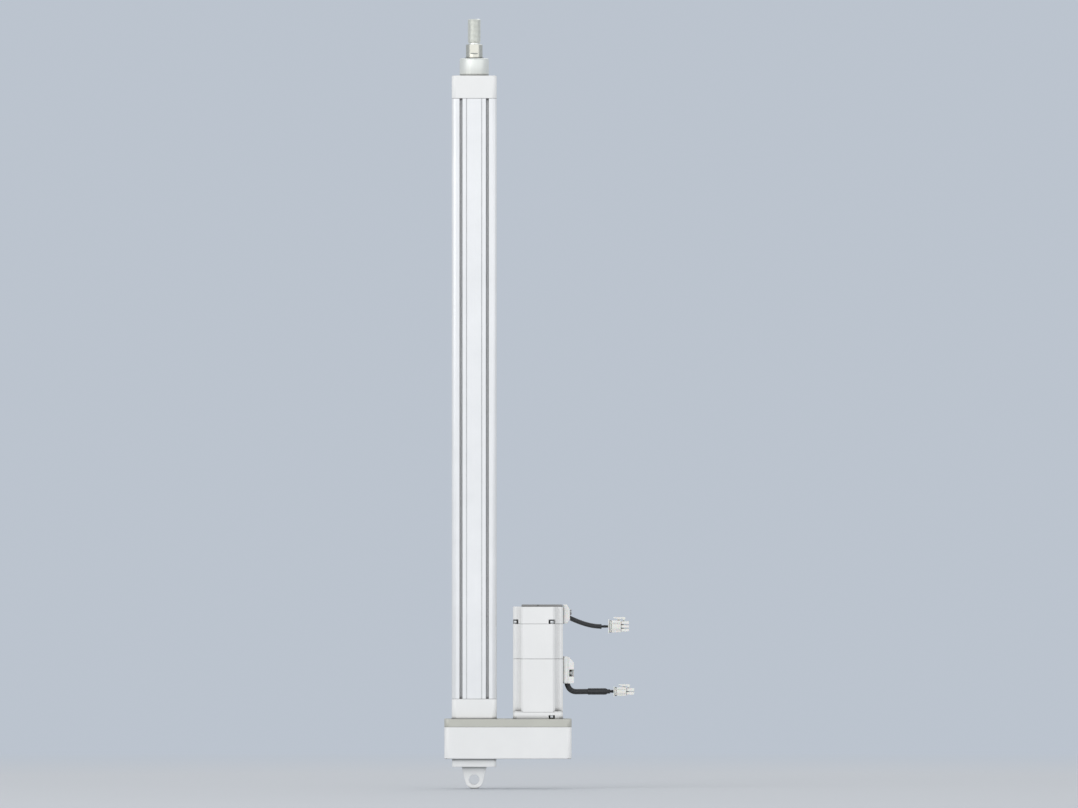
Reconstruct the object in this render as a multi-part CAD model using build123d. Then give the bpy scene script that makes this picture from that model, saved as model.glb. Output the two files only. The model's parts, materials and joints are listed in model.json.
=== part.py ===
from build123d import *
import math
import os

# Electric cylinder with a servo motor beside it, driven through a toothed belt.
# Millimetres. +Z runs along the cylinder towards the rod end, +X towards the motor.
# The origin is the centre of the rear eye's hole. The rod is fully retracted.

# Driving dimensions
stroke = 600.0
body_width = 54.0
body_corner = 5.4
tie_spacing = 38.0
axis_offset = 76.5
eye_to_face = 25.0
housing_height = 38.5
plate_thickness = 9.5
rear_head_length = 24.0
front_head_length = 27.5
bore_r = 20.0
rod_r = 10.0
screw_r = 6.0

# Clearances, each on a radius or on one side
press_gap = 0.01
seat_gap = 0.02
thread_gap = 0.05
bolt_gap = 0.2
run_gap = 0.06
slide_gap = 0.1
free_gap = 0.5

# Rear eye
eye_hole_r = 6.0
eye_outer_r = 11.0
eye_base_width = 53.0
eye_base_thickness = 9.6
eye_base_corner = 3.0
tongue_thickness = 27.6
tongue_root_half = 15.3

# Belt housing and drive plate
housing_left = 35.8
housing_right = 40.3
housing_half_depth = 35.0
housing_corner = 5.5
housing_wall = 6.0
housing_floor = 8.0
housing_inner_corner = 13.0
plate_screw_inset = 6.6

# Profile tube
slot_centre = 15.8
slot_opening = 3.4
slot_inner = 4.8
slot_lip = 1.5
slot_depth = 4.0
land_half = 9.1
land_groove = 0.6
key_groove_width = 6.0
key_groove_depth = 2.0
tie_depth_in_tube = 23.0

# Heads, collar and rod bearing
spigot_length = 6.0
head_bore_r = 12.5
collar_r = 17.5
collar_height = 21.0
collar_body_r = 16.0
collar_body_depth = 21.5
collar_seat_depth = 0.6
collar_relief = 0.5
bush_outer_r = 11.5
bush_length = 24.0
wiper_outer_r = 13.0
wiper_height = 6.0
wiper_stand = 0.6
bumper_thickness = 3.5
bumper_inner_r = 13.0
stop_gap = 0.5

# Piston rod and rod end
rod_bore_r = 6.75
rod_stand = 16.5
flat_half = 8.5
flat_height = 9.6
flat_runout_r = 2.5
stud_r = 8.0
stud_length = 28.5
neck_r = 7.2
neck_length = 2.2
stud_root = 30.0
stud_chamfer = 1.5

# Nut carrier
carrier_side_gap = 0.6
nut_r = 12.0
nut_length = 42.0
nut_collar_r = 14.0
nut_collar_length = 4.0
nut_bore_gap = 0.1
nut_to_rod = 8.0
rod_socket_depth = 50.0
ring_groove_depth = 1.5
ring_length = 12.0
magnet_length = 6.0
magnet_inner_r = 15.5
key_length = 25.0
key_inner_r = 16.5

# Ball screw and its bearings
journal_r = 5.0
pulley_seat_r = 4.0
screw_bearing_r = 15.0
screw_bearing_width = 9.0
lock_nut_r = 10.0
lock_nut_length = 7.0
tip_bush_length = 10.0
tip_journal_r = 4.0
screw_past_carrier = 63.0

# Belt drive
belt_pitch = 3.0
pulley_teeth = 40
belt_width = 15.0
belt_back = 1.2
belt_tooth_height = 1.15
belt_tooth_width = 1.6
pitch_line_offset = 0.381
pulley_groove_r = 0.87
flange_rise = 2.3
flange_thickness = 1.0
pulley_hub_r = 11.0
pulley_low = 14.0
belt_gap = 0.15

# Motor
motor_width = 60.0
motor_corner = 5.0
flange_height = 8.0
plinth_height = 1.2
plinth_inset = 0.8
stator_height = 64.0
brake_height = 42.0
cap_height = 20.5
cover_height = 2.5
pilot_height = 3.0
shaft_r = 7.0
shaft_reach = 30.0
inner_shaft_r = 7.5
rear_shaft_r = 5.0
front_bearing_r = 16.0
front_bearing_width = 9.0
rear_bearing_r = 13.0
rear_bearing_width = 8.0
tie_screw_r = 1.5
tie_head_r = 2.75
tie_head_height = 3.6
tie_head_socket = 2.5
tie_nut_flats = 5.5
tie_nut_height = 2.8
tie_pocket_half = 3.6
tie_pocket_depth = 6.3
tie_pocket_height = 5.0
nut_pocket_height = 4.4

# Motor's section, each measured inwards from the nearest side
flat_inset = 12.1
notch_depth = 9.5
notch_floor_inset = 5.9
notch_bevel = 2.5
tie_from_corner = 13.5
tie_from_side = 3.2
pilot_inset = 5.0
bolt_inset = 5.25
stator_wall = 3.5
cap_wall = 7.0

# Cable covers on the side of the motor
encoder_cover_reach = 8.4
encoder_cover_height = 22.8
encoder_cover_half = 12.0
power_base_reach = 6.0
power_cover_reach = 13.2
power_cover_low = 42.4
power_cover_height = 32.4
power_cover_half = 13.0

# Leads and connectors, with each reach measured from the motor's side
encoder_lead_r = 2.75
encoder_lead_drop = 3.3
encoder_bend_reach = 28.8
encoder_end_reach = 46.2
power_lead_r = 3.25
power_lead_inside = 6.5
power_exit_reach = 4.4
power_middle_reach = 28.7
power_end_reach = 52.4
sleeve_r = 4.0
contact_r = 0.8

# Lengths that follow from the stroke and from what the carrier holds
carrier_length = nut_length + nut_to_rod + rod_socket_depth
tube_length = stroke + carrier_length + 2 * (spigot_length + bumper_thickness + stop_gap)

# Motor's section, worked out from its width
motor_half = motor_width / 2
flat_edge = motor_half - flat_inset
notch_edge = motor_half - notch_depth
notch_floor = motor_half - notch_floor_inset
tie_screw_along = motor_half - tie_from_corner
tie_screw_across = motor_half - tie_from_side
pilot_r = motor_half - pilot_inset
bolt_pcd_half = motor_half - bolt_inset
core_r = motor_half - stator_wall
cap_inner_r = motor_half - cap_wall

# Heights of the stack, worked out from the sizes above
housing_low = eye_to_face
plate_low = housing_low + housing_height
head_low = plate_low + plate_thickness
tube_low = head_low + rear_head_length
tube_high = tube_low + tube_length
front_high = tube_high + front_head_length
collar_high = front_high + collar_height
shoulder = collar_high + rod_stand
rear_spigot_high = tube_low + spigot_length
front_spigot_low = tube_high - spigot_length
carrier_low = rear_spigot_high + bumper_thickness + stop_gap
carrier_high = carrier_low + carrier_length
rod_low = carrier_high - rod_socket_depth
flange_high = head_low + flange_height
stator_high = flange_high + stator_height
brake_high = stator_high + brake_height
cap_high = brake_high + cap_height
tie_half = tie_spacing / 2
tie_places = [(x, y) for x in (-tie_half, tie_half) for y in (-tie_half, tie_half)]
bolt_places = [
    (axis_offset + x, y)
    for x in (-bolt_pcd_half, bolt_pcd_half)
    for y in (-bolt_pcd_half, bolt_pcd_half)
]
housing_middle = (axis_offset + housing_right - housing_left) / 2
housing_half_length = (axis_offset + housing_right + housing_left) / 2
plate_screw_places = [
    (housing_middle + i * (housing_half_length - plate_screw_inset),
     j * (housing_half_depth - plate_screw_inset))
    for i in (-1, 1)
    for j in (-1, 1)
]
pulley_outer_r = belt_pitch * pulley_teeth / (2 * math.pi) - pitch_line_offset
pulley_base = housing_low + pulley_low
pulley_toothed = belt_width + 1.0
pulley_top = pulley_base + 2 * flange_thickness + pulley_toothed
belt_low = pulley_base + flange_thickness + (pulley_toothed - belt_width) / 2
belt_inner_r = pulley_outer_r + belt_gap


def pin(radius, low, high, x=0.0, y=0.0):
    """An upright cylinder."""
    base = (Align.CENTER, Align.CENTER, Align.MIN)
    return Pos(x, y, low) * Cylinder(radius, high - low, align=base)


def ring(outer, inner, low, high, x=0.0, y=0.0):
    """An upright tube."""
    return pin(outer, low, high, x, y) - pin(inner, low, high, x, y)


def block(x0, x1, y0, y1, z0, z1):
    """A box between two corners."""
    middle = Pos((x0 + x1) / 2, (y0 + y1) / 2, (z0 + z1) / 2)
    return middle * Box(x1 - x0, y1 - y0, z1 - z0)


def bar(half_x, half_y, corner, low, high, x=0.0):
    """An upright bar with rounded corners."""
    outline = RectangleRounded(2 * half_x, 2 * half_y, corner)
    return Pos(x, 0, low) * extrude(outline, high - low)


def lying(radius, x0, x1, y, z):
    """A cylinder along X."""
    turned = Rotation(0, 90, 0) * Cylinder(radius, x1 - x0)
    return Pos((x0 + x1) / 2, y, z) * turned


def at_places(make, places):
    """One copy of a piece at each place, as separate solids."""
    return [Pos(x, y, 0) * make for x, y in places]


def cut_all(body, cutters):
    """A body less each of the cutters."""
    for cutter in cutters:
        body = body - cutter
    return body


def hexagon(across_flats, low, high):
    """An upright hexagonal bar."""
    outline = RegularPolygon(across_flats / math.sqrt(3), 6)
    return Pos(0, 0, low) * extrude(outline, high - low)


def cap_screw(shank_r, head_r, tip, seat, top, socket):
    """A socket head screw with its head above the seat and its tip below."""
    head = pin(head_r, seat, top) - hexagon(socket, top - 0.55 * (top - seat), top)
    return head + pin(shank_r, tip, seat)


def rim_chamfer(body, face_z, size):
    """Chamfer the outer edges of the face at a height."""
    top = body.faces().filter_by(Axis.Z).sort_by(lambda f: abs(f.center().Z - face_z))[0]
    return chamfer(top.outer_wire().edges(), size)


# Rear eye and its screws
eye_head_depth = 6.2
eye_head_r = 5.0
eye_head_pocket_r = 5.25
eye_base_low = eye_to_face - eye_base_thickness
eye_head_seat = eye_base_low + eye_head_depth
tie_shank_r = 3.0 - thread_gap
tie_socket = 5.0


def tangent_point(px, pz, radius):
    """Where the line from (px, pz) touches the circle about the origin, on the right."""
    distance = math.hypot(px, pz)
    toward = math.atan2(pz, px)
    turn = math.acos(radius / distance)
    return radius * math.cos(toward - turn), radius * math.sin(toward - turn)


def rear_eye():
    """Square base with a tapered tongue and the eye's hole across it."""
    base_half = eye_base_width / 2
    base = bar(base_half, base_half, eye_base_corner, eye_base_low, eye_to_face)
    tx, tz = tangent_point(tongue_root_half, eye_base_low, eye_outer_r)
    root = (tongue_root_half, eye_base_low + 1.0)
    with BuildSketch(Plane.XZ) as outline:
        with BuildLine():
            Line((-root[0], root[1]), (-tx, tz))
            ThreePointArc((-tx, tz), (0, -eye_outer_r), (tx, tz))
            Line((tx, tz), root)
            Line(root, (-root[0], root[1]))
        make_face()
        Circle(eye_hole_r, mode=Mode.SUBTRACT)
    tongue = extrude(outline.sketch, tongue_thickness / 2, both=True)
    heads = at_places(pin(eye_head_pocket_r, eye_base_low - 1, eye_head_seat), tie_places)
    holes = at_places(pin(3.0 + bolt_gap, eye_base_low, eye_to_face), tie_places)
    return cut_all(base + tongue, heads + holes)


def eye_screws():
    """Four screws that hold the eye under the belt housing, heads down."""
    tip = housing_low + housing_floor - 1.0
    upward = cap_screw(tie_shank_r, eye_head_r, -tip, -eye_head_seat, -eye_base_low - 0.2, tie_socket)
    return at_places(Rotation(180, 0, 0) * upward, tie_places)


# Belt housing, plate and the screws between them
plate_screw_r = 2.5 - thread_gap
plate_screw_head_r = 4.8
plate_screw_tip = plate_low - 16.0
rear_tie_head = 6.0
rear_tie_head_r = 5.0
rear_tie_pocket_r = 5.3
motor_bolt_r = 2.5 - thread_gap
motor_bolt_head = 5.0
motor_bolt_head_r = 4.25
motor_bolt_pocket_r = 4.5


def housing_bar(low, high, inset=0.0, corner=housing_corner):
    """The housing's outline as an upright bar."""
    half_x = housing_half_length - inset
    half_y = housing_half_depth - inset
    return bar(half_x, half_y, corner, low, high, housing_middle)


def belt_housing():
    """Tub that is open towards the plate, with a mouth chamfer round its floor."""
    tub = housing_bar(housing_low, plate_low)
    tub = rim_chamfer(tub, housing_low, 0.8)
    cavity = housing_bar(housing_low + housing_floor, plate_low, housing_wall, housing_inner_corner)
    eye_holes = at_places(pin(3.0, housing_low, housing_low + housing_floor), tie_places)
    lid_holes = at_places(pin(2.5, plate_screw_tip - 2, plate_low), plate_screw_places)
    return cut_all(tub - cavity, eye_holes + lid_holes)


def countersunk(low, seat_top):
    """A flat head screw with its head flush with the top."""
    depth = plate_screw_head_r - plate_screw_r
    base = (Align.CENTER, Align.CENTER, Align.MIN)
    head = Pos(0, 0, seat_top - depth) * Cone(plate_screw_r, plate_screw_head_r, depth, align=base)
    body = pin(plate_screw_r, low, seat_top - depth) + head
    return body - hexagon(3.0, seat_top - 2.0, seat_top)


def plate_screws():
    """Four flat head screws that close the housing with the plate."""
    return at_places(countersunk(plate_screw_tip, head_low), plate_screw_places)


def drive_plate():
    """Plate that carries the cylinder and the motor and closes the housing."""
    plate = rim_chamfer(housing_bar(plate_low, head_low), head_low, 0.5)
    depth = plate_screw_head_r - plate_screw_r
    base = (Align.CENTER, Align.CENTER, Align.MIN)
    sink = Pos(0, 0, head_low - depth) * Cone(
        plate_screw_r + seat_gap, plate_screw_head_r + seat_gap, depth, align=base
    )
    cutters = at_places(pin(2.5 + bolt_gap, plate_low, head_low - depth), plate_screw_places)
    cutters += at_places(sink, plate_screw_places)
    cutters.append(pin(screw_bearing_r - 2.0, plate_low, head_low))
    cutters += at_places(pin(3.0 + bolt_gap, plate_low, head_low), tie_places)
    cutters += at_places(pin(rear_tie_pocket_r, plate_low, plate_low + rear_tie_head), tie_places)
    cutters.append(pin(pilot_r + seat_gap, head_low - pilot_height, head_low, axis_offset))
    cutters.append(pin(pilot_r - 7.0, plate_low, head_low, axis_offset))
    cutters += at_places(pin(2.5 + bolt_gap, plate_low, head_low), bolt_places)
    cutters += at_places(pin(motor_bolt_pocket_r, plate_low, plate_low + motor_bolt_head), bolt_places)
    return cut_all(plate, cutters)


def from_below(shank_r, head_r, head_length, seat, tip, socket):
    """A socket head screw whose head is under its seat."""
    low = seat - head_length + 0.3
    made = cap_screw(shank_r, head_r, -tip, -seat, -low, socket)
    return Rotation(180, 0, 0) * made


def rear_tie_screws():
    """Four screws through plate and rear head into the tube."""
    seat = plate_low + rear_tie_head
    tip = tube_low + tie_depth_in_tube - 2.0
    made = from_below(tie_shank_r, rear_tie_head_r, rear_tie_head, seat, tip, tie_socket)
    return at_places(made, tie_places)


def motor_bolts():
    """Four screws from under the plate into the motor flange."""
    seat = plate_low + motor_bolt_head
    tip = flange_high - 0.5
    made = from_below(motor_bolt_r, motor_bolt_head_r, motor_bolt_head, seat, tip, 4.0)
    return at_places(made, bolt_places)


# Cylinder body
bearing_high = head_low + 2 * screw_bearing_width


def profile_tube():
    """Extruded square tube with sensor slots, key grooves and corner threads."""
    half = body_width / 2
    tube = bar(half, half, body_corner, tube_low, tube_high)
    length = tube_high - tube_low
    neck = Pos(0, half - slot_lip / 2) * Rectangle(slot_opening, slot_lip)
    pocket_depth = slot_depth - slot_lip
    pocket = Pos(0, half - slot_lip - pocket_depth / 2) * Rectangle(slot_inner, pocket_depth)
    wide = land_groove / 2
    score = Polyline((-wide, half), (0, half - wide), (wide, half), close=True)
    slot = neck + pocket
    groove = make_face(score)
    cuts = []
    for side in range(4):
        for sign in (-1, 1):
            cuts.append(Rot(0, 0, 90 * side) * Pos(sign * slot_centre, 0) * slot)
            cuts.append(Rot(0, 0, 90 * side) * Pos(sign * land_half, 0) * groove)
    key_reach = 2 * (bore_r + key_groove_depth)
    cuts.append(Rectangle(key_reach, key_groove_width))
    cuts.append(Circle(bore_r))
    for cut in cuts:
        tube = tube - Pos(0, 0, tube_low) * extrude(cut, length)
    deep = tie_depth_in_tube
    holes = at_places(pin(3.0, tube_low, tube_low + deep), tie_places)
    holes += at_places(pin(3.0, tube_high - deep, tube_high), tie_places)
    return cut_all(tube, holes)


def head_block(low, high):
    """A head with the tube's outline."""
    return bar(body_width / 2, body_width / 2, body_corner, low, high)


def rear_head():
    """Rear head: it holds the screw's bearing pair and centres the tube."""
    head = head_block(head_low, tube_low) + pin(bore_r - thread_gap, tube_low, rear_spigot_high)
    cutters = [
        pin(screw_bearing_r + seat_gap, head_low, bearing_high),
        pin(head_bore_r, head_low, rear_spigot_high),
    ]
    cutters += at_places(pin(3.0 + bolt_gap, head_low, tube_low), tie_places)
    return cut_all(head, cutters)


front_screw_head_r = 4.8
front_screw_head = 17.0
front_thread_r = 2.5
front_thread_depth = 15.0


def front_head():
    """Front head with its corner screws sunk flush and the collar's seat."""
    head = rim_chamfer(head_block(tube_high, front_high), front_high, 1.0)
    head = head + pin(bore_r - thread_gap, front_spigot_low, tube_high)
    seat = front_high - front_screw_head
    cutters = [
        pin(collar_body_r, front_high - collar_body_depth, front_high),
        pin(collar_r + thread_gap, front_high - collar_seat_depth, front_high),
        pin(rod_r + 1.0, front_spigot_low, front_high),
    ]
    cutters += at_places(pin(3.0 + bolt_gap, tube_high, seat), tie_places)
    cutters += at_places(pin(front_screw_head_r + thread_gap, seat, front_high), tie_places)
    return cut_all(head, cutters)


def front_tie_screws():
    """Four long headed screws whose heads carry the mounting threads."""
    seat = front_high - front_screw_head
    tip = tube_high - tie_depth_in_tube + 2.0
    body = pin(front_screw_head_r, seat, front_high) + pin(tie_shank_r, tip, seat)
    return at_places(body - pin(front_thread_r, front_high - front_thread_depth, front_high), tie_places)


bush_low = front_high - collar_body_depth + 4.0
wiper_low = collar_high - wiper_height


def front_collar():
    """Collar that is screwed into the front head, with a relief where it sits in it."""
    seat = front_high - collar_seat_depth
    upper = rim_chamfer(pin(collar_r, front_high, collar_high), collar_high, 1.2)
    lower = pin(collar_body_r - thread_gap, front_high - collar_body_depth, seat)
    relief = pin(collar_r - collar_relief, seat, front_high)
    cutters = [
        pin(rod_r + free_gap, front_high - collar_body_depth, collar_high),
        pin(bush_outer_r + seat_gap, bush_low, bush_low + bush_length),
        pin(wiper_outer_r + seat_gap, wiper_low, collar_high),
    ]
    return cut_all(upper + relief + lower, cutters)


def rod_bush():
    """Plain bearing bush for the rod."""
    return ring(bush_outer_r, rod_r + run_gap, bush_low, bush_low + bush_length)


def rod_wiper():
    """Wiper ring whose lip stands a little above the collar."""
    lip = wiper_stand
    body = ring(wiper_outer_r, rod_r + slide_gap, wiper_low, collar_high)
    edge = ring(rod_r + 1.6, rod_r + slide_gap, collar_high, collar_high + lip)
    return body + edge


def bumpers():
    """Elastomer stops on both heads."""
    outer = bore_r - free_gap
    rear = ring(outer, bumper_inner_r, rear_spigot_high, rear_spigot_high + bumper_thickness)
    front = ring(outer, bumper_inner_r, front_spigot_low - bumper_thickness, front_spigot_low)
    return [rear, front]


# Rod body
def piston_rod():
    """Hollow rod with two wrench flats below its shoulder, each with a round run-out."""
    rod = rim_chamfer(pin(rod_r, rod_low, shoulder), shoulder, 0.6)
    flat_low = shoulder - flat_height
    for side in (-1, 1):
        near, far = sorted((side * flat_half, side * (rod_r + 1.0)))
        rod = rod - block(-rod_r, rod_r, near, far, flat_low, shoulder)
        rod = rod - lying(flat_runout_r, -rod_r, rod_r, side * (flat_half + flat_runout_r), flat_low)
    return rod - pin(rod_bore_r, rod_low, shoulder)


def rod_end_stud():
    """Male rod end: thread above a relief neck, and a root inside the rod."""
    low = shoulder + neck_length
    stud = rim_chamfer(pin(stud_r, low, low + stud_length), low + stud_length, stud_chamfer)
    neck = pin(neck_r, shoulder, low)
    root = pin(rod_bore_r - thread_gap, shoulder - stud_root, shoulder)
    return stud + neck + root


ring_places = (11.0, carrier_length - 21.0)
key_place = ring_places[0] + ring_length + 10.0
magnet_place = key_place + key_length + 2.0
carrier_r = bore_r - carrier_side_gap


def carrier_part(outer, inner, place, length):
    """A ring of the carrier, at a height above its rear face."""
    low = carrier_low + place
    return ring(outer, inner, low, low + length)


def nut_carrier():
    """Piston that joins the ball nut to the rod and slides in the tube."""
    body = pin(carrier_r, carrier_low, carrier_high)
    groove_r = carrier_r - ring_groove_depth
    nut_high = carrier_low + nut_length
    cutters = [
        pin(nut_collar_r + thread_gap, carrier_low, carrier_low + nut_collar_length),
        pin(nut_r + seat_gap, carrier_low, nut_high),
        pin(screw_r + 1.0, carrier_low, carrier_high),
        pin(rod_r + seat_gap, rod_low, carrier_high),
    ]
    for place in ring_places:
        cutters.append(carrier_part(carrier_r + 1, groove_r, place, ring_length))
    cutters.append(carrier_part(carrier_r + 1, magnet_inner_r, magnet_place, magnet_length))
    half_key = key_groove_width / 2 - slide_gap
    key_low = carrier_low + key_place
    for side in (-1, 1):
        near, far = sorted((side * key_inner_r, side * (carrier_r + 1)))
        cutters.append(block(near, far, -half_key, half_key, key_low, key_low + key_length))
    return cut_all(body, cutters)


def wear_ring():
    """Two guide rings that run in the tube."""
    inner = carrier_r - ring_groove_depth + seat_gap
    return [
        carrier_part(bore_r - slide_gap, inner, place + seat_gap, ring_length - 2 * seat_gap)
        for place in ring_places
    ]


def carrier_magnet():
    """Ring magnet that the position sensors read."""
    inner = magnet_inner_r + seat_gap
    length = magnet_length - 2 * seat_gap
    return carrier_part(carrier_r - 0.1, inner, magnet_place + seat_gap, length)


def guide_keys():
    """Two sliding keys that keep the rod from turning."""
    half = key_groove_width / 2 - slide_gap - seat_gap
    low = carrier_low + key_place + seat_gap
    high = low + key_length - 2 * seat_gap
    outer = bore_r + key_groove_depth - 0.3
    inner = key_inner_r + seat_gap
    return [
        block(inner, outer, -half, half, low, high),
        block(-outer, -inner, -half, half, low, high),
    ]


def ball_nut():
    """Ball nut that is screwed into the carrier, with two holes for its wrench."""
    high = carrier_low + nut_length - seat_gap
    body = pin(nut_r, carrier_low, high)
    body = body + pin(nut_collar_r, carrier_low, carrier_low + nut_collar_length)
    cutters = [pin(screw_r + nut_bore_gap, carrier_low, high)]
    cutters += [pin(1.2, carrier_low, carrier_low + 2.5, x, 0) for x in (-10.3, 10.3)]
    return cut_all(body, cutters)


# Screw body
screw_high = carrier_low + stroke + screw_past_carrier
seat_low = housing_low + pulley_low + 1.0


def ball_screw():
    """Screw with its bearing journal, pulley seat and tip journal."""
    lock_low = head_low - lock_nut_length
    return (
        pin(pulley_seat_r, seat_low, lock_low)
        + pin(journal_r, lock_low, bearing_high)
        + pin(screw_r, bearing_high, screw_high - tip_bush_length - 2.0)
        + rim_chamfer(
            pin(tip_journal_r, screw_high - tip_bush_length - 2.0, screw_high), screw_high, 0.6
        )
    )


def bearing_balls(count, ball_r, track_r, middle, x=0.0):
    """The balls of one bearing."""
    balls = []
    for i in range(count):
        turn = 2 * math.pi * i / count
        place = Pos(x + track_r * math.cos(turn), track_r * math.sin(turn), middle)
        balls.append(place * Sphere(ball_r))
    return balls


def bearing_track(ball_r, track_r, middle, x=0.0):
    """The ring shaped track that the balls run in."""
    return Pos(x, 0, middle) * Torus(track_r, ball_r + 0.05)


screw_ball_r = 2.4
screw_ball_count = 11
screw_track_r = 10.0
screw_inner_ring_r = 8.3
screw_outer_ring_r = 11.7
screw_bearing_middles = [head_low + (i + 0.5) * screw_bearing_width for i in range(2)]


def screw_bearing_outer_rings():
    """Outer rings and balls of the screw's bearing pair."""
    pieces = []
    half = screw_bearing_width / 2
    for middle in screw_bearing_middles:
        body = ring(screw_bearing_r, screw_outer_ring_r, middle - half, middle + half)
        pieces.append(body - bearing_track(screw_ball_r, screw_track_r, middle))
        pieces += bearing_balls(screw_ball_count, screw_ball_r, screw_track_r, middle)
    return pieces


def screw_bearing_inner_rings():
    """Inner rings of the screw's bearing pair."""
    pieces = []
    half = screw_bearing_width / 2
    for middle in screw_bearing_middles:
        body = ring(screw_inner_ring_r, journal_r + press_gap, middle - half, middle + half)
        pieces.append(body - bearing_track(screw_ball_r, screw_track_r, middle))
    return pieces


def bearing_lock_nut():
    """Slotted nut that clamps the bearing pair on the screw."""
    low = head_low - lock_nut_length
    body = ring(lock_nut_r, journal_r + thread_gap, low, head_low)
    slots = [
        Rot(0, 0, 90 * i) * block(lock_nut_r - 2, lock_nut_r + 1, -1.5, 1.5, low, head_low)
        for i in range(4)
    ]
    return cut_all(body, slots)


def screw_tip_bush():
    """Bush that centres the screw's tip in the hollow rod."""
    low = screw_high - tip_bush_length - 1.0
    return ring(rod_bore_r - slide_gap, tip_journal_r + seat_gap, low, low + tip_bush_length)


# Belt drive
def toothed_pulley(shaft_radius, hub_high, x):
    """Flanged pulley with round bottomed teeth and a clamping hub."""
    low = pulley_base + flange_thickness
    toothed = pin(pulley_outer_r, low, low + pulley_toothed, x)
    groove_place = pulley_outer_r - 0.4
    for i in range(pulley_teeth):
        turn = 2 * math.pi * (i + 0.5) / pulley_teeth
        gx = x + groove_place * math.cos(turn)
        gy = groove_place * math.sin(turn)
        toothed = toothed - pin(pulley_groove_r, low, low + pulley_toothed, gx, gy)
    flange_r = pulley_outer_r + flange_rise
    body = toothed + pin(flange_r, pulley_base, low, x)
    body = body + pin(flange_r, pulley_top - flange_thickness, pulley_top, x)
    body = body + pin(pulley_hub_r, pulley_top, hub_high, x)
    slit = block(x + shaft_radius, x + pulley_hub_r + 1, -0.6, 0.6, pulley_top + 0.5, hub_high)
    return body - pin(shaft_radius + press_gap, pulley_base, hub_high, x) - slit


def timing_belt():
    """Closed toothed belt, with its teeth on the two straight runs."""
    high = belt_low + belt_width
    outer_r = belt_inner_r + belt_back

    def loop(radius):
        outline = SlotCenterToCenter(axis_offset, 2 * radius)
        return Pos(axis_offset / 2, 0, belt_low) * extrude(outline, belt_width)

    belt = loop(outer_r) - loop(belt_inner_r)
    count = int((axis_offset / 2 - 8.0) / belt_pitch)
    for i in range(-count, count + 1):
        middle = axis_offset / 2 + i * belt_pitch
        for side in (-1, 1):
            near, far = sorted((side * (belt_inner_r + 0.3), side * (belt_inner_r - belt_tooth_height)))
            half = belt_tooth_width / 2
            belt = belt + block(middle - half, middle + half, near, far, belt_low, high)
    return belt


# Motor
rotor_low = flange_high + 8.0
rotor_high = stator_high - 8.0
core_yoke = 4.7
tooth_reach = 4.0
air_gap = 0.8
magnet_thickness = 5.0
core_ring_inner_r = core_r - core_yoke
tooth_tip_r = core_ring_inner_r - tooth_reach
magnet_r = tooth_tip_r - air_gap
rotor_hub_r = magnet_r - magnet_thickness
tooth_count = 12
coil_outer_r = core_ring_inner_r - 0.3
coil_inner_r = coil_outer_r - 2.2
coil_overhang = 4.0
rear_bearing_low = stator_high + 1.5
disc_low = stator_high + 26.0
brake_bore_r = 7.0
brake_disc_r = core_r - 4.5
brake_hub_r = 8.0
brake_coil_inner_r = 12.0
cap_roof = 2.5
encoder_disc_low = brake_high + 6.0
encoder_disc_r = cap_inner_r - 5.0
board_thickness = 1.6
lid_half_y = motor_half - 10.0
lid_from_left = motor_half - 10.2
lid_from_right = motor_half - 0.6


def motor_outline():
    """Square section with a notch at each corner, bevelled at its mouth and its bottom."""
    ledge = motor_half - notch_bevel
    corner = [(flat_edge, motor_half), (notch_edge, ledge), (notch_edge, notch_floor)]
    corner += [(notch_floor, notch_edge), (ledge, notch_edge), (motor_half, flat_edge)]
    points = []
    for side in range(4):
        turn = math.radians(-90 * side)
        for px, py in corner:
            x = px * math.cos(turn) - py * math.sin(turn)
            y = px * math.sin(turn) + py * math.cos(turn)
            points.append((x, y))
    return make_face(Polyline(*points, close=True))


def motor_section(low, high):
    """A length of the motor's outline."""
    return Pos(axis_offset, 0, low) * extrude(motor_outline(), high - low)


def at_motor_ties(make):
    """A copy at each of the four long motor screws, turned with its side of the motor."""
    place = Pos(tie_screw_along, -tie_screw_across, 0)
    return [Pos(axis_offset, 0, 0) * Rot(0, 0, 90 * side) * place * make for side in range(4)]


def open_pockets(low, high, beyond=0.0):
    """Pockets at the long screws, open to the nearest side and, if cut beyond, to the notch."""
    inward = tie_pocket_depth - tie_from_side
    far = tie_pocket_half + beyond
    return at_motor_ties(block(-tie_pocket_half, far, -tie_from_side - 1.0, inward, low, high))


def motor_flange():
    """Square flange with its pilot, the front bearing seat and a low plinth."""
    body = bar(motor_half, motor_half, motor_corner, head_low, flange_high, axis_offset)
    body = body + pin(pilot_r, head_low - pilot_height, head_low, axis_offset)
    half = motor_half - plinth_inset
    plinth = bar(half, half, motor_corner, flange_high, flange_high + plinth_height, axis_offset)
    body = body + plinth - motor_section(flange_high, flange_high + plinth_height)
    body = body + pin(core_r - seat_gap, flange_high, flange_high + plinth_height, axis_offset)
    bearing_low = flange_high - front_bearing_width
    cutters = [
        pin(front_bearing_r + seat_gap, bearing_low, flange_high + plinth_height, axis_offset),
        pin(shaft_r + 2.5, head_low - pilot_height, bearing_low, axis_offset),
    ]
    cutters += at_places(pin(2.5, head_low, flange_high + plinth_height), bolt_places)
    cutters += at_motor_ties(pin(tie_screw_r + bolt_gap, head_low, flange_high))
    cutters += open_pockets(head_low, head_low + nut_pocket_height)
    return cut_all(body, cutters)


def motor_tie_nuts():
    """Nuts of the long motor screws, in the pockets of the flange."""
    high = head_low + nut_pocket_height
    low = high - tie_nut_height
    return at_motor_ties(hexagon(tie_nut_flats, low, high) - pin(tie_screw_r + thread_gap, low, high))


def motor_tie_screws():
    """Long screws from the brake housing down to the flange."""
    tip = head_low + 0.8
    top = brake_high + tie_head_height
    return at_motor_ties(cap_screw(tie_screw_r, tie_head_r, tip, brake_high, top, tie_head_socket))


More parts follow.
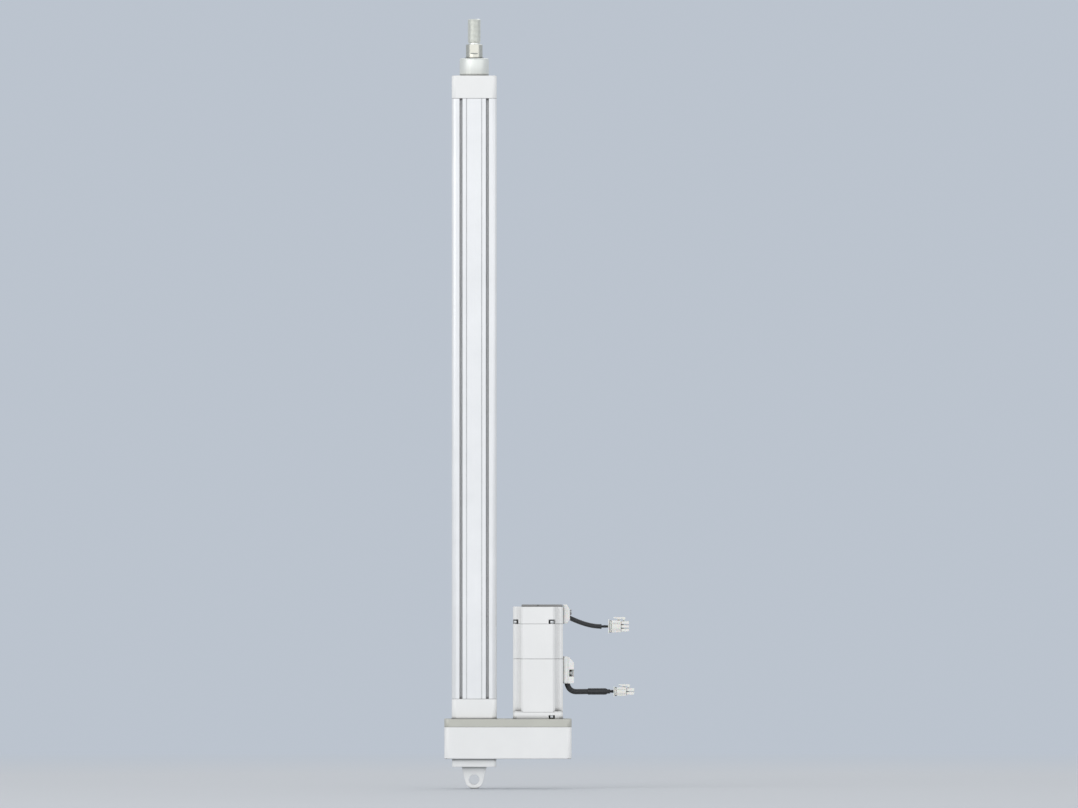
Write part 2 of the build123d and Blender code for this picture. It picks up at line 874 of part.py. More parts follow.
def stator_housing():
    """Middle section of the motor around the windings."""
    body = motor_section(flange_high, stator_high)
    bore = pin(core_r + seat_gap, flange_high, stator_high, axis_offset)
    holes = at_motor_ties(pin(tie_screw_r + bolt_gap, flange_high, stator_high))
    return cut_all(body, [bore] + holes)


def stator_core():
    """Laminated core with its teeth around the rotor."""
    core = ring(core_r, core_ring_inner_r, rotor_low, rotor_high, axis_offset)
    for i in range(tooth_count):
        turn = 360 * i / tooth_count
        tooth = block(tooth_tip_r + 0.6, core_ring_inner_r + 0.5, -1.9, 1.9, rotor_low, rotor_high)
        tip = block(tooth_tip_r, tooth_tip_r + 1.2, -3.4, 3.4, rotor_low, rotor_high)
        core = core + Pos(axis_offset, 0, 0) * Rot(0, 0, turn) * (tooth + tip)
    return core - pin(tooth_tip_r - 0.1, rotor_low, rotor_high, axis_offset)


def stator_windings():
    """Copper coils in the slots, with their end turns above and below the core."""
    low, high = rotor_low - coil_overhang, rotor_high + coil_overhang
    lower = ring(coil_outer_r, coil_inner_r, low, rotor_low, axis_offset)
    upper = ring(coil_outer_r, coil_inner_r, rotor_high, high, axis_offset)
    coils = lower + upper
    for i in range(tooth_count):
        turn = 360 * (i + 0.5) / tooth_count
        near, far = coil_inner_r + 0.3, coil_outer_r - 0.3
        strand = block(near, far, -2.4, 2.4, rotor_low - 1.0, rotor_high + 1.0)
        coils = coils + Pos(axis_offset, 0, 0) * Rot(0, 0, turn) * strand
    return coils


motor_ball_r = 2.0
front_track_r = 11.8
rear_track_r = 9.0
ring_half_gap = 1.4


def motor_bearing_outer_rings():
    """Outer rings and balls of the motor's two bearings."""
    front_low = flange_high - front_bearing_width
    front_middle = front_low + front_bearing_width / 2
    rear_middle = rear_bearing_low + rear_bearing_width / 2
    front = ring(front_bearing_r, front_track_r + ring_half_gap, front_low, flange_high, axis_offset)
    rear_high = rear_bearing_low + rear_bearing_width
    rear = ring(rear_bearing_r, rear_track_r + ring_half_gap, rear_bearing_low, rear_high, axis_offset)
    pieces = [
        front - bearing_track(motor_ball_r, front_track_r, front_middle, axis_offset),
        rear - bearing_track(motor_ball_r, rear_track_r, rear_middle, axis_offset),
    ]
    pieces += bearing_balls(10, motor_ball_r, front_track_r, front_middle, axis_offset)
    pieces += bearing_balls(8, motor_ball_r, rear_track_r, rear_middle, axis_offset)
    return pieces


def motor_bearing_inner_rings():
    """Inner rings of the motor's two bearings."""
    front_low = flange_high - front_bearing_width
    front_middle = front_low + front_bearing_width / 2
    rear_middle = rear_bearing_low + rear_bearing_width / 2
    front_inner_r = inner_shaft_r + press_gap
    front = ring(front_track_r - ring_half_gap, front_inner_r, front_low, flange_high, axis_offset)
    rear_high = rear_bearing_low + rear_bearing_width
    inner_r = rear_shaft_r + press_gap
    rear = ring(rear_track_r - ring_half_gap, inner_r, rear_bearing_low, rear_high, axis_offset)
    return [
        front - bearing_track(motor_ball_r, front_track_r, front_middle, axis_offset),
        rear - bearing_track(motor_ball_r, rear_track_r, rear_middle, axis_offset),
    ]


def motor_shaft():
    """Motor shaft from the pulley to the encoder disc."""
    x = axis_offset
    return (
        rim_chamfer(pin(shaft_r, head_low - shaft_reach, flange_high - front_bearing_width, x),
                    head_low - shaft_reach, 0.8)
        + pin(inner_shaft_r, flange_high - front_bearing_width, rotor_low, x)
        + pin(rotor_hub_r, rotor_low, rotor_high, x)
        + pin(inner_shaft_r, rotor_high, rear_bearing_low, x)
        + pin(rear_shaft_r, rear_bearing_low, encoder_disc_low + 2.0, x)
    )


def rotor_magnets():
    """Ten curved magnets on the rotor's hub."""
    shell = ring(magnet_r, rotor_hub_r + seat_gap, rotor_low + 1.0, rotor_high - 1.0)
    pieces = []
    half_gap = 0.25
    count = 10
    for i in range(count):
        piece = shell
        for edge, side in ((i, -1), (i + 1, 1)):
            turn = 360 * edge / count
            y0, y1 = sorted((-side * half_gap, side * 2 * magnet_r))
            cut = block(-2 * magnet_r, 2 * magnet_r, y0, y1, rotor_low, rotor_high)
            piece = piece - Rot(0, 0, turn) * cut
        pieces.append(Pos(axis_offset, 0, 0) * piece)
    return pieces


def brake_housing():
    """Section of the motor that holds the rear bearing and the brake."""
    body = motor_section(stator_high, brake_high)
    floor = rear_bearing_low + rear_bearing_width
    cutters = [
        pin(rear_bearing_r + seat_gap, rear_bearing_low, floor, axis_offset),
        pin(rear_bearing_r - 3.0, stator_high, floor, axis_offset),
        pin(core_r, floor, brake_high, axis_offset),
    ]
    cutters += at_motor_ties(pin(tie_screw_r + bolt_gap, stator_high, brake_high))
    return cut_all(body, cutters)


def brake_coil():
    """Ring magnet body of the holding brake."""
    low = rear_bearing_low + rear_bearing_width
    coil = ring(core_r - seat_gap, brake_bore_r, low, disc_low - free_gap, axis_offset)
    return coil - ring(brake_disc_r - 1.0, brake_coil_inner_r, disc_low - 4.0, disc_low, axis_offset)


def brake_disc():
    """Friction disc of the brake on the motor shaft."""
    disc = ring(brake_disc_r, rear_shaft_r + seat_gap, disc_low, disc_low + 3.0, axis_offset)
    hub = ring(brake_hub_r, rear_shaft_r + seat_gap, disc_low, disc_low + 7.0, axis_offset)
    return disc + hub


def encoder_cap():
    """End cap over the encoder, with pockets for the heads of the long screws."""
    body = motor_section(brake_high, cap_high)
    body = body - pin(cap_inner_r, brake_high, cap_high - cap_roof, axis_offset)
    return cut_all(body, open_pockets(brake_high, brake_high + tie_pocket_height, 1.0))


def encoder_board():
    """Round circuit board above the encoder disc."""
    low = encoder_disc_low + 4.0
    board = ring(cap_inner_r - slide_gap, 4.0, low, low + board_thickness, axis_offset)
    chip = block(axis_offset + 8, axis_offset + 15, -4, 4, low - 1.6, low)
    return board + chip


def encoder_disc():
    """Coded disc on the end of the motor shaft."""
    inner = rear_shaft_r + seat_gap
    return ring(encoder_disc_r, inner, encoder_disc_low, encoder_disc_low + 1.2, axis_offset)


def encoder_top_cover():
    """Low lid on the cap."""
    left, right = axis_offset - lid_from_left, axis_offset + lid_from_right
    high = cap_high + cover_height
    lid = block(left, right, -lid_half_y, lid_half_y, cap_high, high)
    lid = fillet(lid.edges().filter_by(Axis.Z), 2.0)
    lid = rim_chamfer(lid, high, 0.5)
    notch = block(axis_offset - 0.6, axis_offset + 0.6, -lid_half_y, -lid_half_y + 1.0, cap_high, high)
    return lid - notch


# Cable covers
side_x = axis_offset + motor_half
encoder_cover_low = brake_high
encoder_cover_high = encoder_cover_low + encoder_cover_height
encoder_exit = (side_x + encoder_cover_reach, encoder_cover_low + 6.8)
encoder_z = encoder_cover_low - encoder_lead_drop
encoder_bend = (side_x + encoder_bend_reach, encoder_z)
encoder_end = (side_x + encoder_end_reach, encoder_z)
encoder_lead_inside = 4.0
power_z0 = head_low + power_cover_low
power_z1 = power_z0 + power_cover_height
power_exit_x = side_x + power_exit_reach
power_start = (power_exit_x, power_z0 + power_lead_inside)
power_bend = (power_exit_x, power_z0 - 10.2)
power_middle = (side_x + power_middle_reach, power_z0 - 9.8)
power_end = (side_x + power_end_reach, power_z0 - 9.6)
power_route = [power_start, power_bend, power_middle, power_end]
power_screw_z = power_z1 - 20.0
encoder_screw_z = encoder_cover_low + 14.0
cover_screw_r = 1.5
cover_head_r = 3.4
lid_head_r = 3.2
lid_recess_half = 4.2
lid_recess_floor = 1.5


def side_outline(points, half, y=0.0):
    """A plate with an outline in the XZ plane, centred across Y."""
    with BuildSketch(Plane.XZ.offset(-y)) as sketch:
        with BuildLine():
            Polyline(*points, close=True)
        make_face()
    return extrude(sketch.sketch, half, both=True)


def unit(a, b):
    """The direction from a to b in the XZ plane."""
    length = math.hypot(b[0] - a[0], b[1] - a[1])
    return (b[0] - a[0]) / length, (b[1] - a[1]) / length


def encoder_lead_start():
    """Where the encoder lead begins, inside its cover."""
    dx, dz = unit(encoder_exit, encoder_bend)
    return (encoder_exit[0] - encoder_lead_inside * dx, encoder_exit[1] - encoder_lead_inside * dz)


def straight_tube(start, direction, length, radius):
    """A cylinder from a point in the XZ plane along a direction in it."""
    plane = Plane(origin=(start[0], 0, start[1]), z_dir=(direction[0], 0, direction[1]))
    return extrude(plane * Circle(radius), length)


def encoder_cable_cover():
    """Cover on the motor's side where the encoder lead comes out."""
    far = side_x + encoder_cover_reach
    low, high = encoder_cover_low, encoder_cover_high
    points = [(side_x, low), (far - 3.6, low), (far, low + 4.8), (far, high - 6.0)]
    points += [(far - 3.6, high), (side_x, high)]
    body = side_outline(points, encoder_cover_half)
    ends = body.edges().filter_by(lambda e: abs(abs(e.center().Y) - encoder_cover_half) < 0.01)
    body = fillet(ends.filter_by(lambda e: e.center().X > side_x + 1), 1.5)
    direction = unit(encoder_exit, encoder_bend)
    hole = straight_tube(encoder_lead_start(), direction, 12.0, encoder_lead_r + seat_gap)
    return body - hole - lying(cover_screw_r, side_x, far, 0, encoder_screw_z)


def power_outline(x0, x1):
    """The power cover's box between two distances from the motor."""
    return block(x0, x1, -power_cover_half, power_cover_half, power_z0, power_z1)


def power_hole():
    """The bore in which the power lead sits."""
    return pin(power_lead_r + seat_gap, power_z0, power_start[1], power_exit_x)


def power_cable_cover():
    """Base of the power connection box on the motor's side."""
    body = power_outline(side_x, side_x + power_base_reach)
    body = fillet(body.edges().filter_by(Axis.X), 1.5)
    screw_hole = lying(cover_screw_r, side_x, side_x + power_base_reach, 0, power_screw_z)
    return body - power_hole() - screw_hole


def power_cover_lid():
    """Lid of the power connection box, with a recess for its screw."""
    near, far = side_x + power_base_reach, side_x + power_cover_reach
    points = [(near, power_z0), (far - 1.2, power_z0), (far, power_z0 + 1.2)]
    points += [(far, power_z1 - 7.2), (near + 0.4, power_z1), (near, power_z1)]
    body = side_outline(points, power_cover_half)
    floor, deep = near + lid_recess_floor, lid_recess_half
    low, high = power_screw_z - deep, power_screw_z + deep
    recess = block(floor, far + 1, -power_cover_half - 1, deep, low, high)
    return body - power_hole() - recess - lying(cover_screw_r + bolt_gap, near, far, 0, power_screw_z)


def cover_screws():
    """One screw in each cable cover."""
    far = side_x + encoder_cover_reach
    shank_r = cover_screw_r - seat_gap
    head = lying(cover_head_r, far, far + 2.0, 0, encoder_screw_z)
    head = fillet(head.edges().filter_by(GeomType.CIRCLE).sort_by(Axis.X)[-1:], 1.0)
    slot = block(far + 1.0, far + 3.0, -0.5, 0.5, encoder_screw_z - 4, encoder_screw_z + 4)
    encoder = head + lying(shank_r, side_x, far, 0, encoder_screw_z) - slot
    near = side_x + power_base_reach + lid_recess_floor
    power_head = lying(lid_head_r, near, near + 3.0, 0, power_screw_z)
    shank = lying(shank_r, side_x, near, 0, power_screw_z)
    socket = Pos(near + 3.0, 0, power_screw_z) * Rotation(0, -90, 0) * extrude(RegularPolygon(1.5, 6), 1.6)
    return [encoder, power_head + shank - socket]


# Leads
def lead_wire(points, radii):
    """Straight runs joined by tangent arcs, in the XZ plane."""
    return FilletPolyline(*[(x, 0, z) for x, z in points], radius=radii)


def arc_radii(points):
    """The radius at each corner: 0.45 of the shorter run over the tangent of half the turn."""
    radii = []
    for a, b, c in zip(points, points[1:], points[2:]):
        first, second = Vector(b[0] - a[0], b[1] - a[1]), Vector(c[0] - b[0], c[1] - b[1])
        half_turn = math.radians(first.get_angle(second)) / 2
        radii.append(0.45 * min(first.length, second.length) / math.tan(half_turn))
    return radii


def lead_tube(name, points, radius):
    """A round lead along its route, with its radii and volume printed."""
    radii = arc_radii(points)
    path = lead_wire(points, radii)
    plane = Plane(origin=path @ 0, z_dir=path % 0)
    tube = sweep(plane * Circle(radius), path=path)
    share = tube.volume / (math.pi * radius**2 * path.length)
    print(name, "length", round(path.length, 2), "radii", [round(r, 1) for r in radii])
    print(name, "volume over section times length", round(share, 4))
    return tube


encoder_route = [encoder_lead_start(), encoder_bend, encoder_end]


def encoder_lead():
    """Round sheathed lead of the encoder."""
    return lead_tube("encoder_lead", encoder_route, encoder_lead_r)


def power_lead():
    """Round sheathed lead of the motor and its brake."""
    return lead_tube("power_lead", power_route, power_lead_r)


sleeve_start = 1.0
sleeve_end_wall = 0.8
sleeve_neck_r = 2.6
sleeve_neck_length = 4.2


def power_sleeve():
    """Shrink sleeve over the end of the power lead, with a narrower neck."""
    direction = unit(power_middle, power_end)
    length = math.hypot(power_end[0] - power_middle[0], power_end[1] - power_middle[1])
    begin = (power_middle[0] + sleeve_start * direction[0], power_middle[1] + sleeve_start * direction[1])
    outer = straight_tube(begin, direction, length - sleeve_start, sleeve_r)
    inner = straight_tube(begin, direction, length - sleeve_start, power_lead_r + seat_gap)
    neck = straight_tube(power_end, direction, sleeve_neck_length, sleeve_neck_r)
    cap = straight_tube(power_end, direction, sleeve_end_wall, sleeve_r)
    return outer - inner + neck + cap


def wires(x0, x1, z, pitch, radius):
    """Four thin wires side by side."""
    places = [(i * pitch / 2, j * pitch / 2) for i in (-1, 1) for j in (-1, 1)]
    return [lying(radius, x0, x1, y, z + dz) for y, dz in places]


encoder_face = encoder_end[0] + 8.2
power_face = power_end[0] + 8.3
wire_sink = 3.0
encoder_wire_pitch = 1.8
encoder_wire_r = 0.7
power_wire_pitch = 1.9
power_wire_r = 0.75
power_z = power_end[1] - 0.2


def encoder_wires():
    """Bare wires between the encoder lead and its connector."""
    return wires(encoder_end[0], encoder_face + wire_sink, encoder_z, encoder_wire_pitch, encoder_wire_r)


def power_wires():
    """Bare wires between the power lead and its connector."""
    begin = power_end[0] + sleeve_neck_length + seat_gap
    return wires(begin, power_face + wire_sink, power_end[1], power_wire_pitch, power_wire_r)


connector_lip = 1.1
connector_body = 13.9
prong_length = 9.9
contact_depth = 8.0
contact_sunk = 1.5
prong_mouth = 2.5
web_length = 3.5
latch_half = 2.6
latch_thickness = 1.4
latch_start = 5.8
latch_tooth = 3.2
latch_foot = (5.5, 8.0)


def connector(face, z, rows, pitch, lip, body, prong, latch, wire_z, wire_pitch, wire_r):
    """Crimp connector housing: lip, body, a block of hollow prongs and a latch arm."""
    x1 = face + connector_lip
    x2 = x1 + connector_body
    x3 = x2 + prong_length
    made = block(face, x1, -lip / 2, lip / 2, z - lip / 2, z + lip / 2)
    made = made + block(x1, x2, -body / 2, body / 2, z - body / 2, z + body / 2)
    places = [pitch * (i - (rows - 1) / 2) for i in range(rows)]
    half = prong / 2
    for y in places:
        for dz in places:
            made = made + block(x2, x3, y - half, y + half, z + dz - half, z + dz + half)
    web = pitch * (rows - 1) / 2
    made = made + block(x2, x2 + web_length, -web, web, z - web, z + web)
    for y in places:
        for dz in places:
            made = made - lying(contact_r + seat_gap, x3 - contact_depth, x3, y, z + dz)
            made = made - lying(contact_r + 0.3, x3 - prong_mouth, x3, y, z + dz)
    arm_length, arm_stand = latch
    arm_x0 = face + latch_start
    arm_x1 = arm_x0 + arm_length
    arm_low = z + arm_stand
    wide = latch_half
    made = made + block(arm_x0, arm_x1, -wide, wide, arm_low, arm_low + latch_thickness)
    made = made + block(arm_x1 - latch_tooth, arm_x1, -wide, wide, z + web + half - 0.2, arm_low + 0.1)
    foot_x0, foot_x1 = (arm_x0 + reach for reach in latch_foot)
    made = made + block(foot_x0, foot_x1, -wide, wide, z + body / 2 - 0.1, arm_low + 0.1)
    for y in (-wire_pitch / 2, wire_pitch / 2):
        for dz in (-wire_pitch / 2, wire_pitch / 2):
            made = made - lying(wire_r + seat_gap, face, face + wire_sink, y, wire_z + dz)
    return made


encoder_latch = (14.6, 9.8)
power_latch = (14.0, 7.3)
encoder_pitch = 4.4
power_pitch = 4.3
encoder_lip, encoder_body, encoder_prong = 17.2, 14.3, 3.5
power_lip, power_body, power_prong = 12.4, 10.3, 3.6


def encoder_connector():
    """Nine way connector housing."""
    return connector(encoder_face, encoder_z, 3, encoder_pitch, encoder_lip, encoder_body, encoder_prong,
                     encoder_latch, encoder_z, encoder_wire_pitch, encoder_wire_r)


def power_connector():
    """Four way connector housing."""
    return connector(power_face, power_z, 2, power_pitch, power_lip, power_body, power_prong,
                     power_latch, power_end[1], power_wire_pitch, power_wire_r)


def contacts(face, z, rows, pitch):
    """Tinned contacts in the prongs."""
    x3 = face + connector_lip + connector_body + prong_length
    places = [pitch * (i - (rows - 1) / 2) for i in range(rows)]
    made = []
    for y in places:
        for dz in places:
            sleeve = lying(contact_r, x3 - contact_depth, x3 - contact_sunk, y, z + dz)
            made.append(sleeve - lying(contact_r - 0.3, x3 - 6.0, x3 - contact_sunk, y, z + dz))
    return made


def encoder_contacts():
    """Contacts of the encoder connector."""
    return contacts(encoder_face, encoder_z, 3, encoder_pitch)


def power_contacts():
    """Contacts of the power connector."""
    return contacts(power_face, power_z, 2, power_pitch)


def screw_pulley():
    """Pulley on the screw."""
    return toothed_pulley(pulley_seat_r, head_low - lock_nut_length - 1.0, 0.0)


def motor_pulley():
    """Pulley on the motor shaft."""
    return toothed_pulley(shaft_r, plate_low - 0.7, axis_offset)


PIECES = [
    rear_eye, eye_screws, belt_housing, drive_plate, plate_screws, rear_head, rear_tie_screws,
    profile_tube, front_head, front_tie_screws, front_collar, rod_bush, rod_wiper, bumpers,
    piston_rod, rod_end_stud, nut_carrier, wear_ring, carrier_magnet, guide_keys, ball_nut,
    ball_screw, screw_bearing_outer_rings, screw_bearing_inner_rings,
    bearing_lock_nut, screw_tip_bush, screw_pulley, motor_pulley, timing_belt, motor_flange,
    motor_bolts, motor_tie_nuts, motor_tie_screws, stator_housing, stator_core, stator_windings,
    motor_bearing_outer_rings, motor_bearing_inner_rings, motor_shaft, rotor_magnets,
    brake_housing, brake_coil, brake_disc, encoder_cap, encoder_board, encoder_disc,
    encoder_top_cover, encoder_cable_cover, power_cable_cover, power_cover_lid, cover_screws,
    encoder_lead, encoder_wires, encoder_connector, encoder_contacts, power_lead, power_sleeve,
    power_wires, power_connector, power_contacts,
]


def main():
    """Write one file for each named piece or group of like pieces."""
    os.makedirs("parts", exist_ok=True)
    for make in PIECES:
        made = make()
        if isinstance(made, list):
            made = Compound(children=[s for piece in made for s in piece.solids()])
        export_step(made, os.path.join("parts", make.__name__ + ".step"))


main()
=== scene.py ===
import json
import math

import bmesh
import bpy
from mathutils import Matrix, Vector


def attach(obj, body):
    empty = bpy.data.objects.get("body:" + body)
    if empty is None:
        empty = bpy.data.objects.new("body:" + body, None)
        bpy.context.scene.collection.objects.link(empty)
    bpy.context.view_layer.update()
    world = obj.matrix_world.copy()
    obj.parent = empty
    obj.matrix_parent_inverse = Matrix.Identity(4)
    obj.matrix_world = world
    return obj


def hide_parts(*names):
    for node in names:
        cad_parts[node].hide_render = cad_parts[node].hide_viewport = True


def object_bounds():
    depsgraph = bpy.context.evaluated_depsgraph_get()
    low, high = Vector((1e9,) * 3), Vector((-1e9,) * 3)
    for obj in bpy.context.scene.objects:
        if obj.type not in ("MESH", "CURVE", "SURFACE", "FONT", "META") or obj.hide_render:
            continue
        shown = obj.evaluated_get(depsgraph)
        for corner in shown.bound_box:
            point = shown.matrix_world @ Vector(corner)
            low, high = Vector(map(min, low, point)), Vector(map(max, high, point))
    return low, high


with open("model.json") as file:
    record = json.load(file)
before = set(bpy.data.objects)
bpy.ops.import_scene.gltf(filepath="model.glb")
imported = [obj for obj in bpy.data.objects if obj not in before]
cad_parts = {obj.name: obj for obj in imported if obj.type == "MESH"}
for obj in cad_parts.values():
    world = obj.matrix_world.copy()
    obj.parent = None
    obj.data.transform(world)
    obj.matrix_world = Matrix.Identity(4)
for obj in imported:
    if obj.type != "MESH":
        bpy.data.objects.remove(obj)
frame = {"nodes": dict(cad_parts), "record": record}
cad_low, cad_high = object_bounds()
nodes = frame["nodes"]
scene = bpy.context.scene
MM = 0.001
BODY = "cylinder"

# Camera: level, looking along +Y from far away through a long lens
VIEW_WIDTH = 1.2936
VIEW_X = 0.0777
VIEW_Z = 0.4506
LENS = 800.0
SENSOR = 36.0

# Leads in the plane of the motor's axis: exits, and control points in X and Z
ENCODER_ROUTE = [(0.1113, 0.1956), (0.1356, 0.1833), (0.1527, 0.1837)]
ENCODER_R = 0.00275
POWER_ROUTE = [(0.1109, 0.1219), (0.1109, 0.1052), (0.1352, 0.1056), (0.1589, 0.1058)]
POWER_R = 0.00325

# Bare wires, and where they enter their connectors
ENCODER_FACE_X = 0.1609
POWER_FACE_X = 0.1672
ENCODER_Z = 0.1837
POWER_Z = 0.1056
ENCODER_WIRES_X = 0.1520
POWER_WIRES_X = 0.1625
POWER_WIRES_Z = POWER_Z + 0.2 * MM
WIRES_INSIDE = 3.0 * MM

# Shrink sleeve of the power lead, with ripples as height, rate and phase
SLEEVE_X = (0.1362, 0.1589)
SLEEVE_NECK_X = 0.1631
SLEEVE_R = 3.93 * MM
SLEEVE_END = 1.2 * MM
SLEEVE_STEPS = 46
SLEEVE_RIPPLES = ((0.045 * MM, 61, 0), (0.03 * MM, 23, 1))

# Sizes that both connectors share
LIP_LENGTH = 1.1 * MM
LIP_EDGE = 0.25 * MM
CASE_LENGTH = 13.9 * MM
CASE_EDGE = 0.35 * MM
CASE_LAP = 1 * MM
THIN_EDGE = 0.2 * MM
PRONG_LENGTH = 9.9 * MM
PRONG_HOLE_R = 0.85 * MM
PRONG_HOLE_DEPTH = 1.2 * MM
PRONG_CHAMFER = 0.45 * MM
CELL_DEPTH = 3.0 * MM
CELL_HOLE_R = 1.55 * MM
CELL_SET_BACK = 0.3 * MM
WALL_SET_BACK = 0.4 * MM
WALL_LAP = 0.2 * MM
WEB_LENGTH = 3.5 * MM
RIB_HALF = 0.5 * MM
RIB_PLACE = 0.55
RIB_ROOT = 0.3 * MM
RIB_RISE = 0.35 * MM
RIB_FRONT = 1.5 * MM
RIB_BACK = 1.2 * MM
LEVER_START = 5.8 * MM
LEVER_THICK = 1.4 * MM
LEVER_HALF = 2.6 * MM
GRIP_HALF = 2.4 * MM
GRIP_STEP = 0.75 * MM

# Rod end
SHOULDER_Z = 0.8820
STUD_R = 0.0080
STUD_ROOT_R = 6.7 * MM
STUD_ROOT_DEPTH = 30.0 * MM
NECK_R = 7.0 * MM
NECK_LENGTH = 2.2 * MM
NECK_CHAMFER = 0.9 * MM
TIP_CHAMFER = 1.3 * MM
THREAD_LENGTH = 28.5 * MM
THREAD_PITCH = 0.0015
THREAD_DEPTH = 0.00078
THREAD_ROOT_SHARE = 0.12
THREAD_FLANK_SHARE = 0.60
ROWS_PER_PITCH = 14

# Roundings of the edges that show
HEAD_EDGE = 0.7 * MM
MOTOR_EDGE = 0.6 * MM
PLATE_EDGE = 0.3 * MM
TUBE_EDGE = 0.4 * MM
COVER_EDGE = 0.3 * MM
SCREW_EDGE = 0.2 * MM
EDGE_ANGLE = math.radians(28)
EDGE_SEGMENTS = 2
FLAT_ANGLE = math.radians(1)
WELD_GAP = 0.002 * MM


def add_camera():
    """Makes the photograph's camera."""
    data = bpy.data.cameras.new("camera")
    data.lens = LENS
    data.sensor_width = SENSOR
    distance = VIEW_WIDTH * LENS / SENSOR
    data.clip_start = distance / 50
    data.clip_end = distance * 3
    camera = bpy.data.objects.new("camera", data)
    camera.location = (VIEW_X, -distance, VIEW_Z)
    camera.rotation_euler = (math.radians(90), 0, 0)
    scene.collection.objects.link(camera)
    scene.camera = camera


add_camera()


# Materials
class Shader:
    """One node material, with short calls for the nodes it is made of."""

    def __init__(self, name):
        self.material = bpy.data.materials.new(name)
        self.material.use_nodes = True
        self.tree = self.material.node_tree
        self.main = self.tree.nodes["Principled BSDF"]
        self.coords = self.tree.nodes.new("ShaderNodeTexCoord").outputs["Object"]

    def link(self, value, socket):
        """Puts a number, a colour or another node's output into a socket."""
        if isinstance(value, bpy.types.NodeSocket):
            self.tree.links.new(value, socket)
        elif isinstance(value, (tuple, list)) and len(socket.default_value) == 4:
            socket.default_value = (*value[:3], 1.0)
        else:
            socket.default_value = value

    def math(self, kind, a, b, clamp=False):
        """Arithmetic on two numbers or outputs."""
        node = self.tree.nodes.new("ShaderNodeMath")
        node.operation = kind
        node.use_clamp = clamp
        self.link(a, node.inputs[0])
        self.link(b, node.inputs[1])
        return node.outputs[0]

    def spread(self, value, low, high, to_low=0.0, to_high=1.0):
        """A clamped change of range."""
        node = self.tree.nodes.new("ShaderNodeMapRange")
        for socket, number in zip(node.inputs[1:5], (low, high, to_low, to_high)):
            socket.default_value = number
        self.link(value, node.inputs[0])
        return node.outputs[0]

    def noise(self, scale, detail, stretch=(1, 1, 1)):
        """Noise in object space, with scale in features per metre."""
        mapping = self.tree.nodes.new("ShaderNodeMapping")
        mapping.inputs["Scale"].default_value = stretch
        self.link(self.coords, mapping.inputs["Vector"])
        node = self.tree.nodes.new("ShaderNodeTexNoise")
        self.link(mapping.outputs[0], node.inputs["Vector"])
        node.inputs["Scale"].default_value = scale
        node.inputs["Detail"].default_value = detail
        return node.outputs["Fac"]

    def mix(self, factor, a, b, kind="MIX"):
        """Two colours mixed by a factor."""
        node = self.tree.nodes.new("ShaderNodeMix")
        node.data_type = "RGBA"
        node.blend_type = kind
        self.link(factor, node.inputs["Factor"])
        self.link(a, node.inputs[6])
        self.link(b, node.inputs[7])
        return node.outputs[2]

    def grey(self, value):
        """A grey of one value."""
        node = self.tree.nodes.new("ShaderNodeCombineColor")
        for socket in node.inputs[:3]:
            self.link(value, socket)
        return node.outputs[0]

    def rubbed(self, radius):
        """How sharp the surface turns nearby: 0 on a flat, up to 1 on an edge."""
        bevel = self.tree.nodes.new("ShaderNodeBevel")
        bevel.samples = 4
        bevel.inputs["Radius"].default_value = radius
        geometry = self.tree.nodes.new("ShaderNodeNewGeometry")
        dot = self.tree.nodes.new("ShaderNodeVectorMath")
        dot.operation = "DOT_PRODUCT"
        self.link(bevel.outputs[0], dot.inputs[0])
        self.link(geometry.outputs["Normal"], dot.inputs[1])
        return self.spread(dot.outputs["Value"], 0.995, 0.88)

    def crevice_shade(self, reach):
        """Painted shade from ambient occlusion: 1 deep in a seam or corner, 0 in the open."""
        node = self.tree.nodes.new("ShaderNodeAmbientOcclusion")
        node.samples = 6
        node.inputs["Distance"].default_value = reach
        return self.spread(node.outputs["AO"], 0.92, 0.50)

    def bump(self, height, depth):
        """A normal that follows a height, with depth in metres."""
        node = self.tree.nodes.new("ShaderNodeBump")
        node.inputs["Distance"].default_value = depth
        self.link(height, node.inputs["Height"])
        return node.outputs[0]


# Painted shade: the first colour and the last two darken seams, corners and recesses; the second
# is for edges rubbed bare.
PAINTED_SHADE_COLOUR = (0.10, 0.10, 0.095)
BARE = (0.80, 0.80, 0.80)
BROWN_SHADE = (0.10, 0.095, 0.08)
DARK_SHADE = (0.05, 0.05, 0.045)
ALONG_Z = (1, 1, 0.006)
ROUND_Z = (0.03, 0.03, 1)
CLOUDS_PER_METRE = 22.0
RUBBED_R = 0.5 * MM
COAT_ROUGH = 0.2
SUBSURFACE_DEPTH = 0.4 * MM
FINISHES = {}


